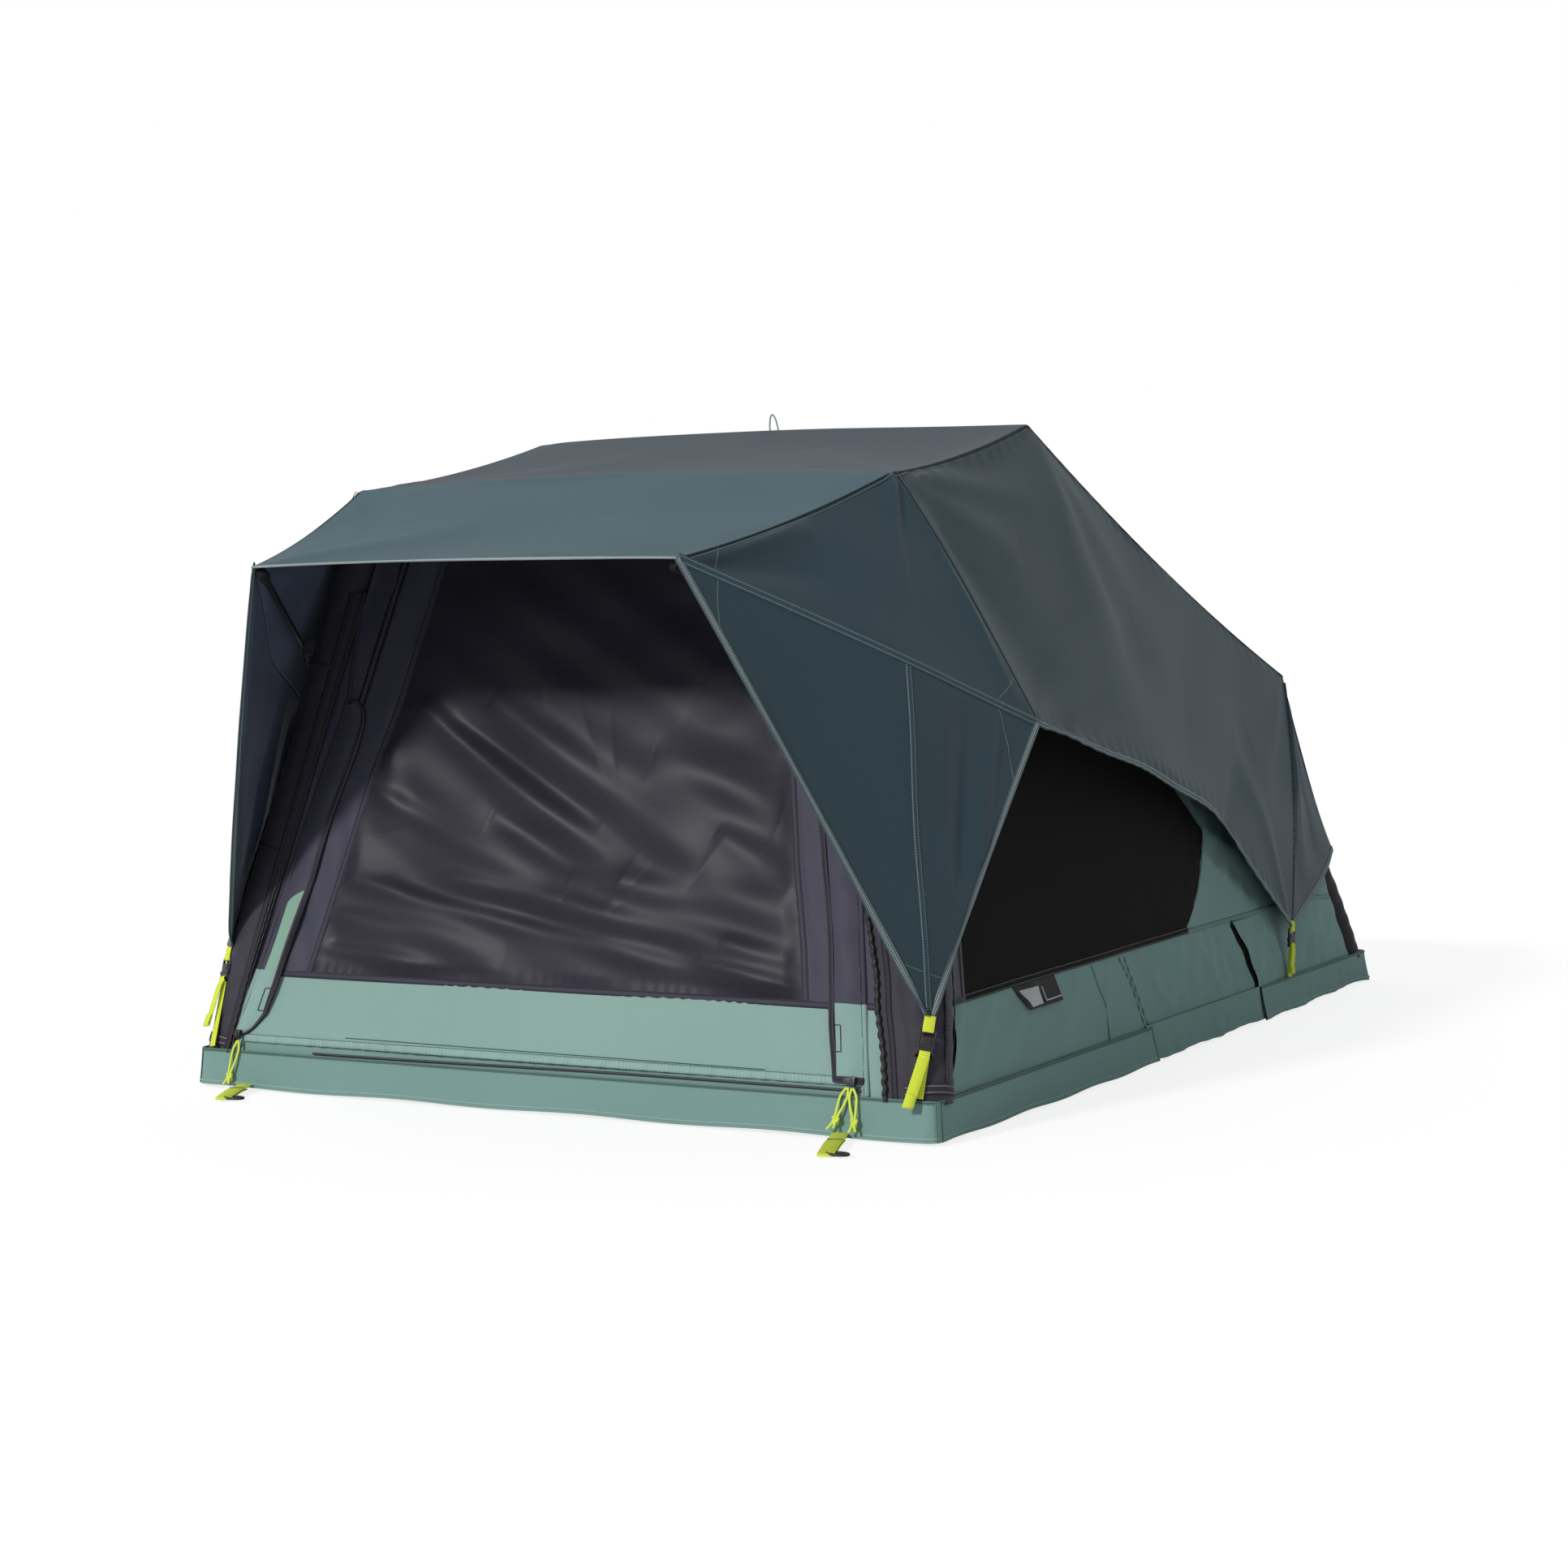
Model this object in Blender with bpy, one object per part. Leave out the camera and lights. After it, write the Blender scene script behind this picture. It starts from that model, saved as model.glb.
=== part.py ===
"""Two-person fold-out roof-top tent: a two-leaf base, three air-beam hoops, walls with a
zipped door, and a flysheet with an awning. Metres, +Z up. X = 0 is the mirror plane, the
entrance faces -Y, and Z = 0 is the face that the mounting rails rest on."""
import math

import bmesh
import bpy
from mathutils import Matrix, Vector

# Base. Every y below is counted from the near edge of the base, and goes through at(). A size
# named SIDE is counted inwards from the base's side, and one named OUT outwards from it.
BASE_WIDTH = 1.300
BASE_LENGTH = 2.385
AWNING_REACH = 0.231
GAP = 0.0003
SKIRT_T = 0.003
SKIRT_TOP = 0.0585
SKIRT_LIFT = 0.002
RAIL_HEIGHT = 0.020
RAIL_WIDTH = 0.060
RAIL_WALL = 0.004
RAIL_SLOT = 0.014
RAIL_X = 0.400
RAIL_END_GAP = 0.040
FRAME_HEIGHT = 0.035
FRAME_WIDTH = 0.062
FLOOR_T = 0.012
MEMBER_WIDTH = 0.040
MEMBER_COUNT = 2
MEMBER_LIFT = 0.004
MATTRESS_T = 0.050
MATTRESS_SIDE_GAP = 0.115
MATTRESS_END_GAP = 0.008
MATTRESS_FOLD_GAP = 0.004
MATTRESS_EDGE = 0.010

# Fold hinge between the two leaves
PIVOT_Z = 0.170
PLATE_T = 0.005
PLATE_SIDE = 0.060
PLATE_FOOT = 0.110
PLATE_FOOT_START = 0.020
PLATE_TOE = 0.020
EYE_RADIUS = 0.018
PIN_RADIUS = 0.006
PIN_HEAD_RADIUS = 0.010
PIN_HEAD_T = 0.003
PIN_SIDES = 24

# Air-beam hoops. A size named AHEAD is counted from the fold towards the near edge.
BEAM_RADIUS = 0.042
BEAM_BEND = 0.100
NEAR_FOOT_SIDE = 0.045
NEAR_FOOT_Y = 0.047
RIDGE_FOOT_SIDE = 0.058
RIDGE_FOOT_AHEAD = 0.1925
FAR_FOOT_SIDE = 0.053
FAR_FOOT_BACK = 0.085
NEAR_CORNER_SIDE = 0.182
RIDGE_CORNER_SIDE = 0.247
FAR_CORNER_SIDE = 0.162
BEAM_SIDES = 12
BEND_STEPS = 5

# Flysheet, on its outer face. A size named BACK is counted from the far edge of the base.
FLY_T = 0.002
AWNING_SIDE = 0.290
AWNING_Z = 0.828
NEAR_CREST_SIDE = 0.168
NEAR_CREST_Y = 0.220
NEAR_CREST_Z = 0.971
RIDGE_SIDE = 0.175
RIDGE_AHEAD = 0.4055
RIDGE_Z = 1.0895
FAR_SIDE = 0.120
FAR_CREST_BACK = 0.251
FAR_Z = 0.666
ROOF_SAG = 0.015
KINK_SIDE = 0.090
KINK_Y = 0.078
KINK_Z = 0.7028
WING_OUT = 0.020
WING_Y = 0.338
WING_Z = 0.594
WING_TIP_SIDE = 0.018
WING_TIP_Y = 0.046
WING_TIP_Z = 0.194
HEM_OUT = 0.015
HEM_AHEAD = 0.3865
HEM_Z = 0.5185
HEM_KINK_SIDE = 0.015
HEM_KINK_BEYOND = 0.1975
HEM_KINK_Z = 0.394
EAR_BACK = 0.585
EAR_Z = 0.167
END_HEM_SIDE = 0.044
END_HEM_Z = 0.270
END_ARCH_SIDE = 0.300
END_ARCH_SIDE_Z = 0.385
END_ARCH_Z = 0.420
END_FOOT_BACK = -0.001

# Walls
WALL_T = 0.002
WALL_NEAR_TOP_Z = 0.870
WALL_RIDGE_TOP_Z = 0.970
WALL_FOLD_TOP_Z = 0.900
WALL_FAR_TOP_Z = 0.560
WALL_LEAN = 0.195
WALL_FAR_LEAN = 0.240
FRONT_TOP_Z = 0.872
FRONT_LEAN = 0.2353
FRONT_FOOT_SIDE = 0.067
FRONT_TOP_SIDE = 0.223
END_WALL_BACK = 0.029
END_WALL_LEAN = 0.385
END_WALL_TOP_Z = 0.575
END_WALL_FOOT_SIDE = 0.100
END_WALL_TOP_SIDE = 0.210

# Side windows
WINDOW_Y = 0.130
WINDOW_SILL_Z = 0.200
WINDOW_AHEAD = 0.0125
WINDOW_END_Z = 0.545
WINDOW_SLOPE_AHEAD = 0.2925
WINDOW_SLOPE_Z = 0.660
WINDOW_TOP_Y = 0.400
WINDOW_TOP_Z = 0.690
WINDOW_SHOULDER_Y = 0.235
WINDOW_SHOULDER_Z = 0.640
WINDOW_MIDDLE_Y = 0.650
WINDOW_MIDDLE_Z = 0.400
WINDOW_CLEARANCE = 0.001

# Door and its rain flaps
DOOR_FOOT_Z = 0.074
DOOR_TOP_Z = 0.855
DOOR_FOOT_SIDE = 0.130
DOOR_TOP_SIDE = 0.272
FLAP_WIDTH = 0.040
FLAP_LAP = 0.012
FLAP_FOOT_Z = 0.092
FLAP_TOP_Z = 0.620
FLAP_T = 0.002

# Zip sliders with their cord pulls
SLIDER_WIDTH = 0.010
SLIDER_LENGTH = 0.020
SLIDER_T = 0.006
PULL_RADIUS = 0.0018
PULL_LENGTH = 0.062
SLIDER_INSET = 0.010
PULL_LEAN = 0.300

# Awning rods and their sockets on the near hoop
ROD_RADIUS = 0.005
SOCKET_Z = 0.700
SOCKET_WIDTH = 0.038
SOCKET_HEIGHT = 0.022
SOCKET_REACH = 0.012
ROD_TIP_DEPTH = 0.016
ROD_SPACING = 0.024

# Corner straps, ground tabs and ridge loop
STRAP_WIDTH = 0.022
STRAP_T = 0.0015
STRAP_FOOT_Z = 0.066
STRAP_FOOT_INSET = 0.028
STRAP_OUT = 0.004
STRAP_TOP_GAP = 0.0004
BUCKLE_DROP = 0.020
BUCKLE_LENGTH = 0.024
BUCKLE_WIDTH = 0.030
BUCKLE_T = 0.006
TAB_SIDE = 0.105
TAB_REACH = 0.085
TAB_WIDTH = 0.025
TAB_T = 0.0012
TAB_HOLD = 0.050
RING_PLACE = 0.022
RING_RADIUS = 0.014
RING_WIRE = 0.002
LOOP_HEIGHT = 0.034
LOOP_WIDTH = 0.016
LOOP_WIRE = 0.0015

HALF = BASE_WIDTH / 2
FOLD_Y = BASE_LENGTH / 2
NEAR_Y = (AWNING_REACH - BASE_LENGTH) / 2
FRAME_Z = RAIL_HEIGHT + GAP
BASE_TOP = FRAME_Z + FRAME_HEIGHT
FRAME_HALF = HALF - SKIRT_T - GAP
BEAM_Z = BASE_TOP + GAP
WALL_FOOT_Z = BASE_TOP + GAP
PLATE_X = HALF - PLATE_SIDE
TAB_X = HALF - TAB_SIDE
SIDES = {"left": -1, "right": 1}

# Half widths, and the places along the tent that follow the fold or the far edge
RIDGE_FOOT_Y = FOLD_Y - RIDGE_FOOT_AHEAD
RIDGE_Y = FOLD_Y - RIDGE_AHEAD
NEAR_CORNER_HALF = HALF - NEAR_CORNER_SIDE
RIDGE_CORNER_HALF = HALF - RIDGE_CORNER_SIDE
FAR_CORNER_HALF = HALF - FAR_CORNER_SIDE
AWNING_HALF = HALF - AWNING_SIDE
NEAR_CREST_HALF = HALF - NEAR_CREST_SIDE
RIDGE_HALF = HALF - RIDGE_SIDE
FAR_HALF = HALF - FAR_SIDE
END_HEM_HALF = HALF - END_HEM_SIDE
END_ARCH_HALF = HALF - END_ARCH_SIDE
FRONT_FOOT_HALF = HALF - FRONT_FOOT_SIDE
FRONT_TOP_HALF = HALF - FRONT_TOP_SIDE
END_WALL_FOOT_HALF = HALF - END_WALL_FOOT_SIDE
END_WALL_TOP_HALF = HALF - END_WALL_TOP_SIDE
DOOR_FOOT_HALF = HALF - DOOR_FOOT_SIDE
DOOR_TOP_HALF = HALF - DOOR_TOP_SIDE
KINK = (HALF - KINK_SIDE, KINK_Y, KINK_Z)
WING_CORNER = (HALF + WING_OUT, WING_Y, WING_Z)
WING_TIP = (HALF - WING_TIP_SIDE, WING_TIP_Y, WING_TIP_Z)
HEM_MIDDLE = (HALF + HEM_OUT, FOLD_Y - HEM_AHEAD, HEM_Z)
HEM_KINK = (HALF - HEM_KINK_SIDE, FOLD_Y + HEM_KINK_BEYOND, HEM_KINK_Z)
EAR_TIP = (HALF, BASE_LENGTH - EAR_BACK, EAR_Z)

# The window's outline as (y, z) on the right wall, and a point inside it
WINDOW = (
    (WINDOW_Y, WINDOW_SILL_Z), (FOLD_Y - WINDOW_AHEAD, WINDOW_SILL_Z),
    (FOLD_Y - WINDOW_AHEAD, WINDOW_END_Z), (FOLD_Y - WINDOW_SLOPE_AHEAD, WINDOW_SLOPE_Z),
    (WINDOW_TOP_Y, WINDOW_TOP_Z), (WINDOW_SHOULDER_Y, WINDOW_SHOULDER_Z),
)
WINDOW_MIDDLE = (WINDOW_MIDDLE_Y, WINDOW_MIDDLE_Z)


def at(x, y, z):
    """A point given by its distance from the mirror plane, from the near edge and from the ground."""
    return Vector((x, NEAR_Y + y, z))


def material(name, colour, roughness=0.8, metallic=0.0):
    made = bpy.data.materials.new(name)
    made.use_nodes = True
    shader = made.node_tree.nodes["Principled BSDF"]
    shader.inputs["Base Color"].default_value = (*colour, 1)
    shader.inputs["Roughness"].default_value = roughness
    shader.inputs["Metallic"].default_value = metallic
    return made


def pivot(name, place, parent=None):
    """An empty on a joint's axis, for the pieces that move with it."""
    empty = bpy.data.objects.new(name, None)
    empty["place"] = tuple(place)
    empty.parent = parent
    empty.location = place - (Vector(parent["place"]) if parent else Vector())
    bpy.context.collection.objects.link(empty)
    return empty


def piece(name, bm, look, parent, origin=None):
    """A named object from a bmesh in world space, with its own origin."""
    bmesh.ops.recalc_face_normals(bm, faces=bm.faces)
    origin = origin or Vector(parent["place"])
    bm.transform(Matrix.Translation(-origin))
    mesh = bpy.data.meshes.new(name)
    bm.to_mesh(mesh)
    bm.free()
    mesh.materials.append(look)
    made = bpy.data.objects.new(name, mesh)
    made.parent = parent
    made.location = origin - Vector(parent["place"])
    bpy.context.collection.objects.link(made)
    return made


def combine(base, tool, operation):
    """Joins a helper body to a piece, or cuts it away, and leaves the helper out of the model."""
    tool.hide_render = True
    tool.display_type = "WIRE"
    step = base.modifiers.new(tool.name, "BOOLEAN")
    step.object = tool
    step.operation = operation
    step.solver = "EXACT"


def add_box(bm, low, high):
    size = high - low
    matrix = Matrix.Translation((low + high) / 2) @ Matrix.Diagonal((*size, 1))
    bmesh.ops.create_cube(bm, size=1, matrix=matrix)


def add_bar(bm, start, end, width, thick, across):
    """A flat bar from start to end, whose width runs along across."""
    along = (end - start).normalized()
    across = (across - along * across.dot(along)).normalized()
    up = along.cross(across)
    turn = Matrix((across, along, up)).transposed().to_4x4()
    size = Matrix.Diagonal((width, (end - start).length, thick, 1))
    bmesh.ops.create_cube(bm, size=1, matrix=Matrix.Translation((start + end) / 2) @ turn @ size)


def add_prism(bm, outline, depth):
    """A solid between a flat outline of points and the same outline moved by depth."""
    low = [bm.verts.new(p) for p in outline]
    high = [bm.verts.new(p + depth) for p in outline]
    bm.faces.new(low)
    bm.faces.new(list(reversed(high)))
    for i in range(len(outline)):
        j = (i + 1) % len(outline)
        bm.faces.new((low[i], high[i], high[j], low[j]))


def add_ring(bm, outer, inner, depth, closed=True):
    """A prism with a hole through it, from two loops of as many points, or an open band between them."""
    low_out, low_in = ([bm.verts.new(p) for p in loop] for loop in (outer, inner))
    high_out, high_in = ([bm.verts.new(p + depth) for p in loop] for loop in (outer, inner))
    count = len(outer)
    for i in range(count if closed else count - 1):
        j = (i + 1) % count
        bm.faces.new((low_out[i], low_in[i], low_in[j], low_out[j]))
        bm.faces.new((high_out[i], high_out[j], high_in[j], high_in[i]))
        bm.faces.new((low_out[i], low_out[j], high_out[j], high_out[i]))
        bm.faces.new((low_in[i], high_in[i], high_in[j], low_in[j]))
    if not closed:
        bm.faces.new((low_out[0], high_out[0], high_in[0], low_in[0]))
        bm.faces.new((low_out[-1], low_in[-1], high_in[-1], high_out[-1]))


def rectangle(centre, across, up, width, height):
    steps = ((1, 1), (-1, 1), (-1, -1), (1, -1))
    return [centre + across * a * width / 2 + up * b * height / 2 for a, b in steps]


def add_tube(bm, path, radius, sides, closed=False):
    """A round tube along a path, with flat ends unless the path is closed."""
    count = len(path)
    rings = []
    across = None
    for i, p in enumerate(path):
        before = path[i - 1] if i or closed else path[i]
        after = path[(i + 1) % count] if i < count - 1 or closed else path[i]
        along = (after - before).normalized()
        if across is None:
            across = along.orthogonal().normalized()
        across = (across - along * across.dot(along)).normalized()
        other = along.cross(across)
        stretch = 1.0
        if 0 < i < count - 1 or closed:
            half_turn = (p - before).angle(after - p) / 2
            stretch = 1 / math.cos(half_turn)
        bend = (after - p) - (p - before)
        bend = bend.normalized() if bend.length > 1e-9 else across
        ring = []
        for k in range(sides):
            turn = 2 * math.pi * k / sides
            offset = (across * math.cos(turn) + other * math.sin(turn)) * radius
            offset += bend * offset.dot(bend) * (stretch - 1)
            ring.append(bm.verts.new(p + offset))
        rings.append(ring)
    last = count if closed else count - 1
    for i in range(last):
        a, b = rings[i], rings[(i + 1) % count]
        for k in range(sides):
            m = (k + 1) % sides
            bm.faces.new((a[k], a[m], b[m], b[k]))
    if not closed:
        bm.faces.new(list(reversed(rings[0])))
        bm.faces.new(rings[-1])


def add_turned(bm, start, along, profile, sides):
    """A turned solid on an axis from start, through pairs of distance along it and radius."""
    across = along.orthogonal().normalized()
    other = along.cross(across)
    rings = []
    for distance, radius in profile:
        ring = []
        for k in range(sides):
            turn = 2 * math.pi * k / sides
            around = across * math.cos(turn) + other * math.sin(turn)
            ring.append(bm.verts.new(start + along * distance + around * radius))
        rings.append(ring)
    for a, b in zip(rings, rings[1:]):
        for k in range(sides):
            m = (k + 1) % sides
            bm.faces.new((a[k], a[m], b[m], b[k]))
    bm.faces.new(list(reversed(rings[0])))
    bm.faces.new(rings[-1])


def smooth(obj, angle=40):
    obj.data.shade_smooth()
    obj.data.set_sharp_from_angle(angle=math.radians(angle))


def sheet(name, points, offsets, faces, look, parent, origin=None):
    """A thin closed solid from named points on its outer face, each with its step to the inner
    face. Its edge is drawn in by half a gap, so that it meets the next sheet without touching."""
    names = sorted({n for face in faces for n in face})
    normals = [face_normal(points, face) for face in faces]
    edges = {}
    for face, normal in zip(faces, normals):
        for i, a in enumerate(face):
            b = face[(i + 1) % len(face)]
            edges[a, b] = normal.cross(points[b] - points[a]).normalized()
    rim = {edge: inward for edge, inward in edges.items() if edge[::-1] not in edges}
    pull = {n: Vector() for n in names}
    for n in names:
        near = [inward for edge, inward in rim.items() if n in edge]
        if near:
            total = sum(near, Vector())
            pull[n] = total * GAP / max(total.dot(near[0]), 0.15)
    bm = bmesh.new()
    outer = {n: bm.verts.new(points[n] + pull[n]) for n in names}
    inner = {n: bm.verts.new(points[n] + pull[n] + offsets[n]) for n in names}
    for face in faces:
        bm.faces.new([outer[n] for n in face])
        bm.faces.new([inner[n] for n in reversed(face)])
    for a, b in rim:
        bm.faces.new((outer[b], outer[a], inner[a], inner[b]))
    bmesh.ops.triangulate(bm, faces=bm.faces)
    return piece(name, bm, look, parent, origin)


def face_normal(points, face):
    a, b, c = (points[n] for n in face[:3])
    return (b - a).cross(c - a).normalized()


def inward_steps(points, faces, thick):
    """For each point, the step that moves all faces round it inwards by about thick."""
    sums = {n: [] for n in points}
    for face in faces:
        normal = face_normal(points, face)
        for n in face:
            sums[n].append(normal)
    steps = {}
    for n, normals in sums.items():
        if normals:
            mean = sum(normals, Vector()).normalized()
            steps[n] = -mean * thick / max(min(mean.dot(k) for k in normals), 0.5)
    return steps


def under_crest(before, crest, after, depth):
    """The (y, z) that lies depth inside both of the slopes that meet at a crest."""
    slopes = [(Vector(crest) - Vector(before)).normalized(), (Vector(after) - Vector(crest)).normalized()]
    normals = [Vector((-s.y, s.x)) for s in slopes]
    mean = (normals[0] + normals[1]).normalized()
    return Vector(crest) - mean * depth / mean.dot(normals[0])


def hoop_path(foot, corner):
    """Left foot, up, over and down again, with round bends, from the right foot and corner."""
    path = [foot.copy()]
    down = (foot - corner).normalized()
    side = Vector((-1, 0, 0))
    angle = down.angle(side)
    reach = BEAM_BEND / math.tan(angle / 2)
    centre = corner + (down + side).normalized() * BEAM_BEND / math.sin(angle / 2)
    start = (corner + down * reach - centre).normalized()
    end = (corner + side * reach - centre).normalized()
    for i in range(BEND_STEPS + 1):
        path.append(centre + start.slerp(end, i / BEND_STEPS) * BEAM_BEND)
    mirrored = [Vector((-p.x, p.y, p.z)) for p in reversed(path)]
    return path + mirrored


def end_wall_y(z):
    return BASE_LENGTH - END_WALL_BACK - END_WALL_LEAN * (z - WALL_FOOT_Z)


def front_y(z):
    return SKIRT_T + GAP + FRONT_LEAN * (z - WALL_FOOT_Z)


def between(z, low_z, high_z, low, high):
    return low + (high - low) * (z - low_z) / (high_z - low_z)


def front_half(z):
    return between(z, WALL_FOOT_Z, FRONT_TOP_Z, FRONT_FOOT_HALF, FRONT_TOP_HALF)


def door_half(z):
    return between(z, DOOR_FOOT_Z, DOOR_TOP_Z, DOOR_FOOT_HALF, DOOR_TOP_HALF)


def fly_end_y(z):
    return between(z, 0, FAR_Z, BASE_LENGTH - END_FOOT_BACK, BASE_LENGTH - FAR_CREST_BACK)


# Hoop axes: the top bars touch the flysheet from inside, just under its three crests
CREST_DEPTH = BEAM_RADIUS + FLY_T + 2 * GAP
NEAR_CREST = (NEAR_CREST_Y, NEAR_CREST_Z)
RIDGE_CREST = (RIDGE_Y, RIDGE_Z)
FAR_CREST = (BASE_LENGTH - FAR_CREST_BACK, FAR_Z)
FOLD_CREST_Z = between(FOLD_Y, RIDGE_Y, FAR_CREST[0], RIDGE_Z, FAR_Z) - ROOF_SAG
NEAR_TOP = under_crest((-AWNING_REACH, AWNING_Z), NEAR_CREST, RIDGE_CREST, CREST_DEPTH)
RIDGE_TOP = under_crest(NEAR_CREST, RIDGE_CREST, (FOLD_Y, FOLD_CREST_Z), CREST_DEPTH)
FAR_TOP = under_crest((FOLD_Y, FOLD_CREST_Z), FAR_CREST, (fly_end_y(0), 0), CREST_DEPTH)
NEAR_FOOT = at(HALF - NEAR_FOOT_SIDE, NEAR_FOOT_Y, BEAM_Z)
RIDGE_FOOT = at(HALF - RIDGE_FOOT_SIDE, RIDGE_FOOT_Y, BEAM_Z)
FAR_FOOT = at(HALF - FAR_FOOT_SIDE, BASE_LENGTH - FAR_FOOT_BACK, BEAM_Z)
NEAR_CORNER = at(NEAR_CORNER_HALF, NEAR_TOP.x, NEAR_TOP.y)
RIDGE_CORNER = at(RIDGE_CORNER_HALF, RIDGE_TOP.x, RIDGE_TOP.y)
FAR_CORNER = at(FAR_CORNER_HALF, FAR_TOP.x, FAR_TOP.y)


def axis_y(foot, corner, z):
    """The y, from the near edge, of a hoop's leg axis at height z."""
    return between(z, foot.z, corner.z, foot.y, corner.y) - NEAR_Y


def mirror(points):
    return {n: Vector((-p.x, p.y, p.z)) for n, p in points.items()}


def make_base(bodies, looks):
    """Welded aluminium frame, floor panel, mounting rails and mattress of each leaf."""
    leaves = {
        "near": (SKIRT_T + GAP, FOLD_Y - GAP),
        "far": (FOLD_Y + GAP, BASE_LENGTH - SKIRT_T - GAP),
    }
    for leaf, (start, end) in leaves.items():
        make_frame(leaf, start, end, bodies[leaf], looks)
        for side, sign in SIDES.items():
            rail = bmesh.new()
            add_rail(rail, sign * RAIL_X, start + RAIL_END_GAP, end - RAIL_END_GAP)
            piece(f"mounting_rail_{leaf}_{side}", rail, looks["aluminium"], bodies[leaf])
        top = BASE_TOP + GAP + MATTRESS_T
        ends = (front_y(top) + WALL_T + MATTRESS_END_GAP, end - MATTRESS_FOLD_GAP)
        if leaf == "far":
            ends = (start + MATTRESS_FOLD_GAP, end_wall_y(top) - WALL_T - MATTRESS_END_GAP)
        half = HALF - MATTRESS_SIDE_GAP
        pad = bmesh.new()
        add_box(pad, at(-half, ends[0], BASE_TOP + GAP), at(half, ends[1], top))
        bmesh.ops.bevel(pad, geom=pad.edges[:], offset=MATTRESS_EDGE, segments=2, affect="EDGES")
        smooth(piece("mattress_" + leaf, pad, looks["mattress"], bodies[leaf]))


def make_frame(leaf, start, end, body, looks):
    """A ring of box section with cross members welded in, and the floor panel that lies on them."""
    w = FRAME_WIDTH
    outer = [(FRAME_HALF, start), (FRAME_HALF, end), (-FRAME_HALF, end), (-FRAME_HALF, start)]
    hole = [(FRAME_HALF - w, start + w), (FRAME_HALF - w, end - w),
            (w - FRAME_HALF, end - w), (w - FRAME_HALF, start + w)]
    loops = [[at(x, y, FRAME_Z) for x, y in loop] for loop in (outer, hole)]
    ring = bmesh.new()
    add_ring(ring, *loops, Vector((0, 0, FRAME_HEIGHT)))
    frame = piece("frame_" + leaf, ring, looks["aluminium"], body)
    low = (w - FRAME_HALF - GAP, start + w + GAP)
    high = (FRAME_HALF - w - GAP, end - w - GAP)
    for i in range(MEMBER_COUNT):
        middle = low[1] + (high[1] - low[1]) * (i + 1) / (MEMBER_COUNT + 1)
        weld = FRAME_HALF - w / 2
        member = bmesh.new()
        add_box(member, at(-weld, middle - MEMBER_WIDTH / 2, FRAME_Z + MEMBER_LIFT),
                at(weld, middle + MEMBER_WIDTH / 2, BASE_TOP - FLOOR_T - GAP))
        combine(frame, piece(f"member_{leaf}_{i}", member, looks["aluminium"], body), "UNION")
    floor = bmesh.new()
    add_box(floor, at(low[0] + 2 * GAP, low[1], BASE_TOP - FLOOR_T), at(high[0], high[1], BASE_TOP))
    piece("floor_panel_" + leaf, floor, looks["board"], body)


def add_rail(bm, middle, start, end):
    """A channel with a slot along its underside, for the bolts of the roof bars."""
    half = RAIL_WIDTH / 2
    slot = RAIL_SLOT / 2
    wall = RAIL_WALL
    section = [(-half, 0), (-slot, 0), (-slot, wall), (wall - half, wall), (wall - half, RAIL_HEIGHT - wall),
               (half - wall, RAIL_HEIGHT - wall), (half - wall, wall), (slot, wall), (slot, 0), (half, 0),
               (half, RAIL_HEIGHT), (-half, RAIL_HEIGHT)]
    outline = [at(middle + x, start, z) for x, z in section]
    add_prism(bm, outline, Vector((0, end - start, 0)))


def add_plate(bm, x, toward):
    """A hinge plate: a foot on the frame, tapering up to a round eye at the fold's axis."""
    foot = BASE_TOP + GAP
    start = FOLD_Y + toward * PLATE_FOOT_START
    end = start + toward * PLATE_FOOT
    eye = Vector((FOLD_Y, PIVOT_Z))
    outline = [(start, foot), (end, foot), (end, foot + PLATE_TOE)]
    steps = 8
    first = math.radians(40) if toward > 0 else math.radians(140)
    for i in range(steps + 1):
        turn = first + toward * math.radians(150) * i / steps
        outline.append((eye.x + EYE_RADIUS * math.cos(turn), eye.y + EYE_RADIUS * math.sin(turn)))
    add_prism(bm, [at(x, y, z) for y, z in outline], Vector((PLATE_T, 0, 0)))


def make_hinge(bodies, looks):
    """Overlapping hinge plates on both sides, and the pins through them."""
    stack = 2 * PLATE_T + 3 * GAP
    profile = [(-PIN_HEAD_T, PIN_HEAD_RADIUS), (0, PIN_HEAD_RADIUS), (0, PIN_RADIUS), (stack, PIN_RADIUS),
               (stack, PIN_HEAD_RADIUS), (stack + PIN_HEAD_T, PIN_HEAD_RADIUS)]
    for side, sign in SIDES.items():
        along = Vector((sign, 0, 0))
        start = at(sign * (PLATE_X - GAP), FOLD_Y, PIVOT_Z)
        pin = bmesh.new()
        add_turned(pin, start, along, profile, PIN_SIDES)
        smooth(piece("hinge_pin_" + side, pin, looks["steel"], bodies["far"]))
        hole = bmesh.new()
        add_turned(hole, start, along, [(-stack, PIN_RADIUS + GAP), (2 * stack, PIN_RADIUS + GAP)], PIN_SIDES)
        cutter = piece("eye_" + side, hole, looks["steel"], bodies["far"])
        for leaf, toward, shift in (("far", 1, 0), ("near", -1, PLATE_T + GAP)):
            inner = PLATE_X + shift
            plate = bmesh.new()
            add_plate(plate, inner if sign > 0 else -inner - PLATE_T, toward)
            made = piece(f"hinge_plate_{leaf}_{side}", plate, looks["steel"], bodies[leaf])
            combine(made, cutter, "DIFFERENCE")


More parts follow.
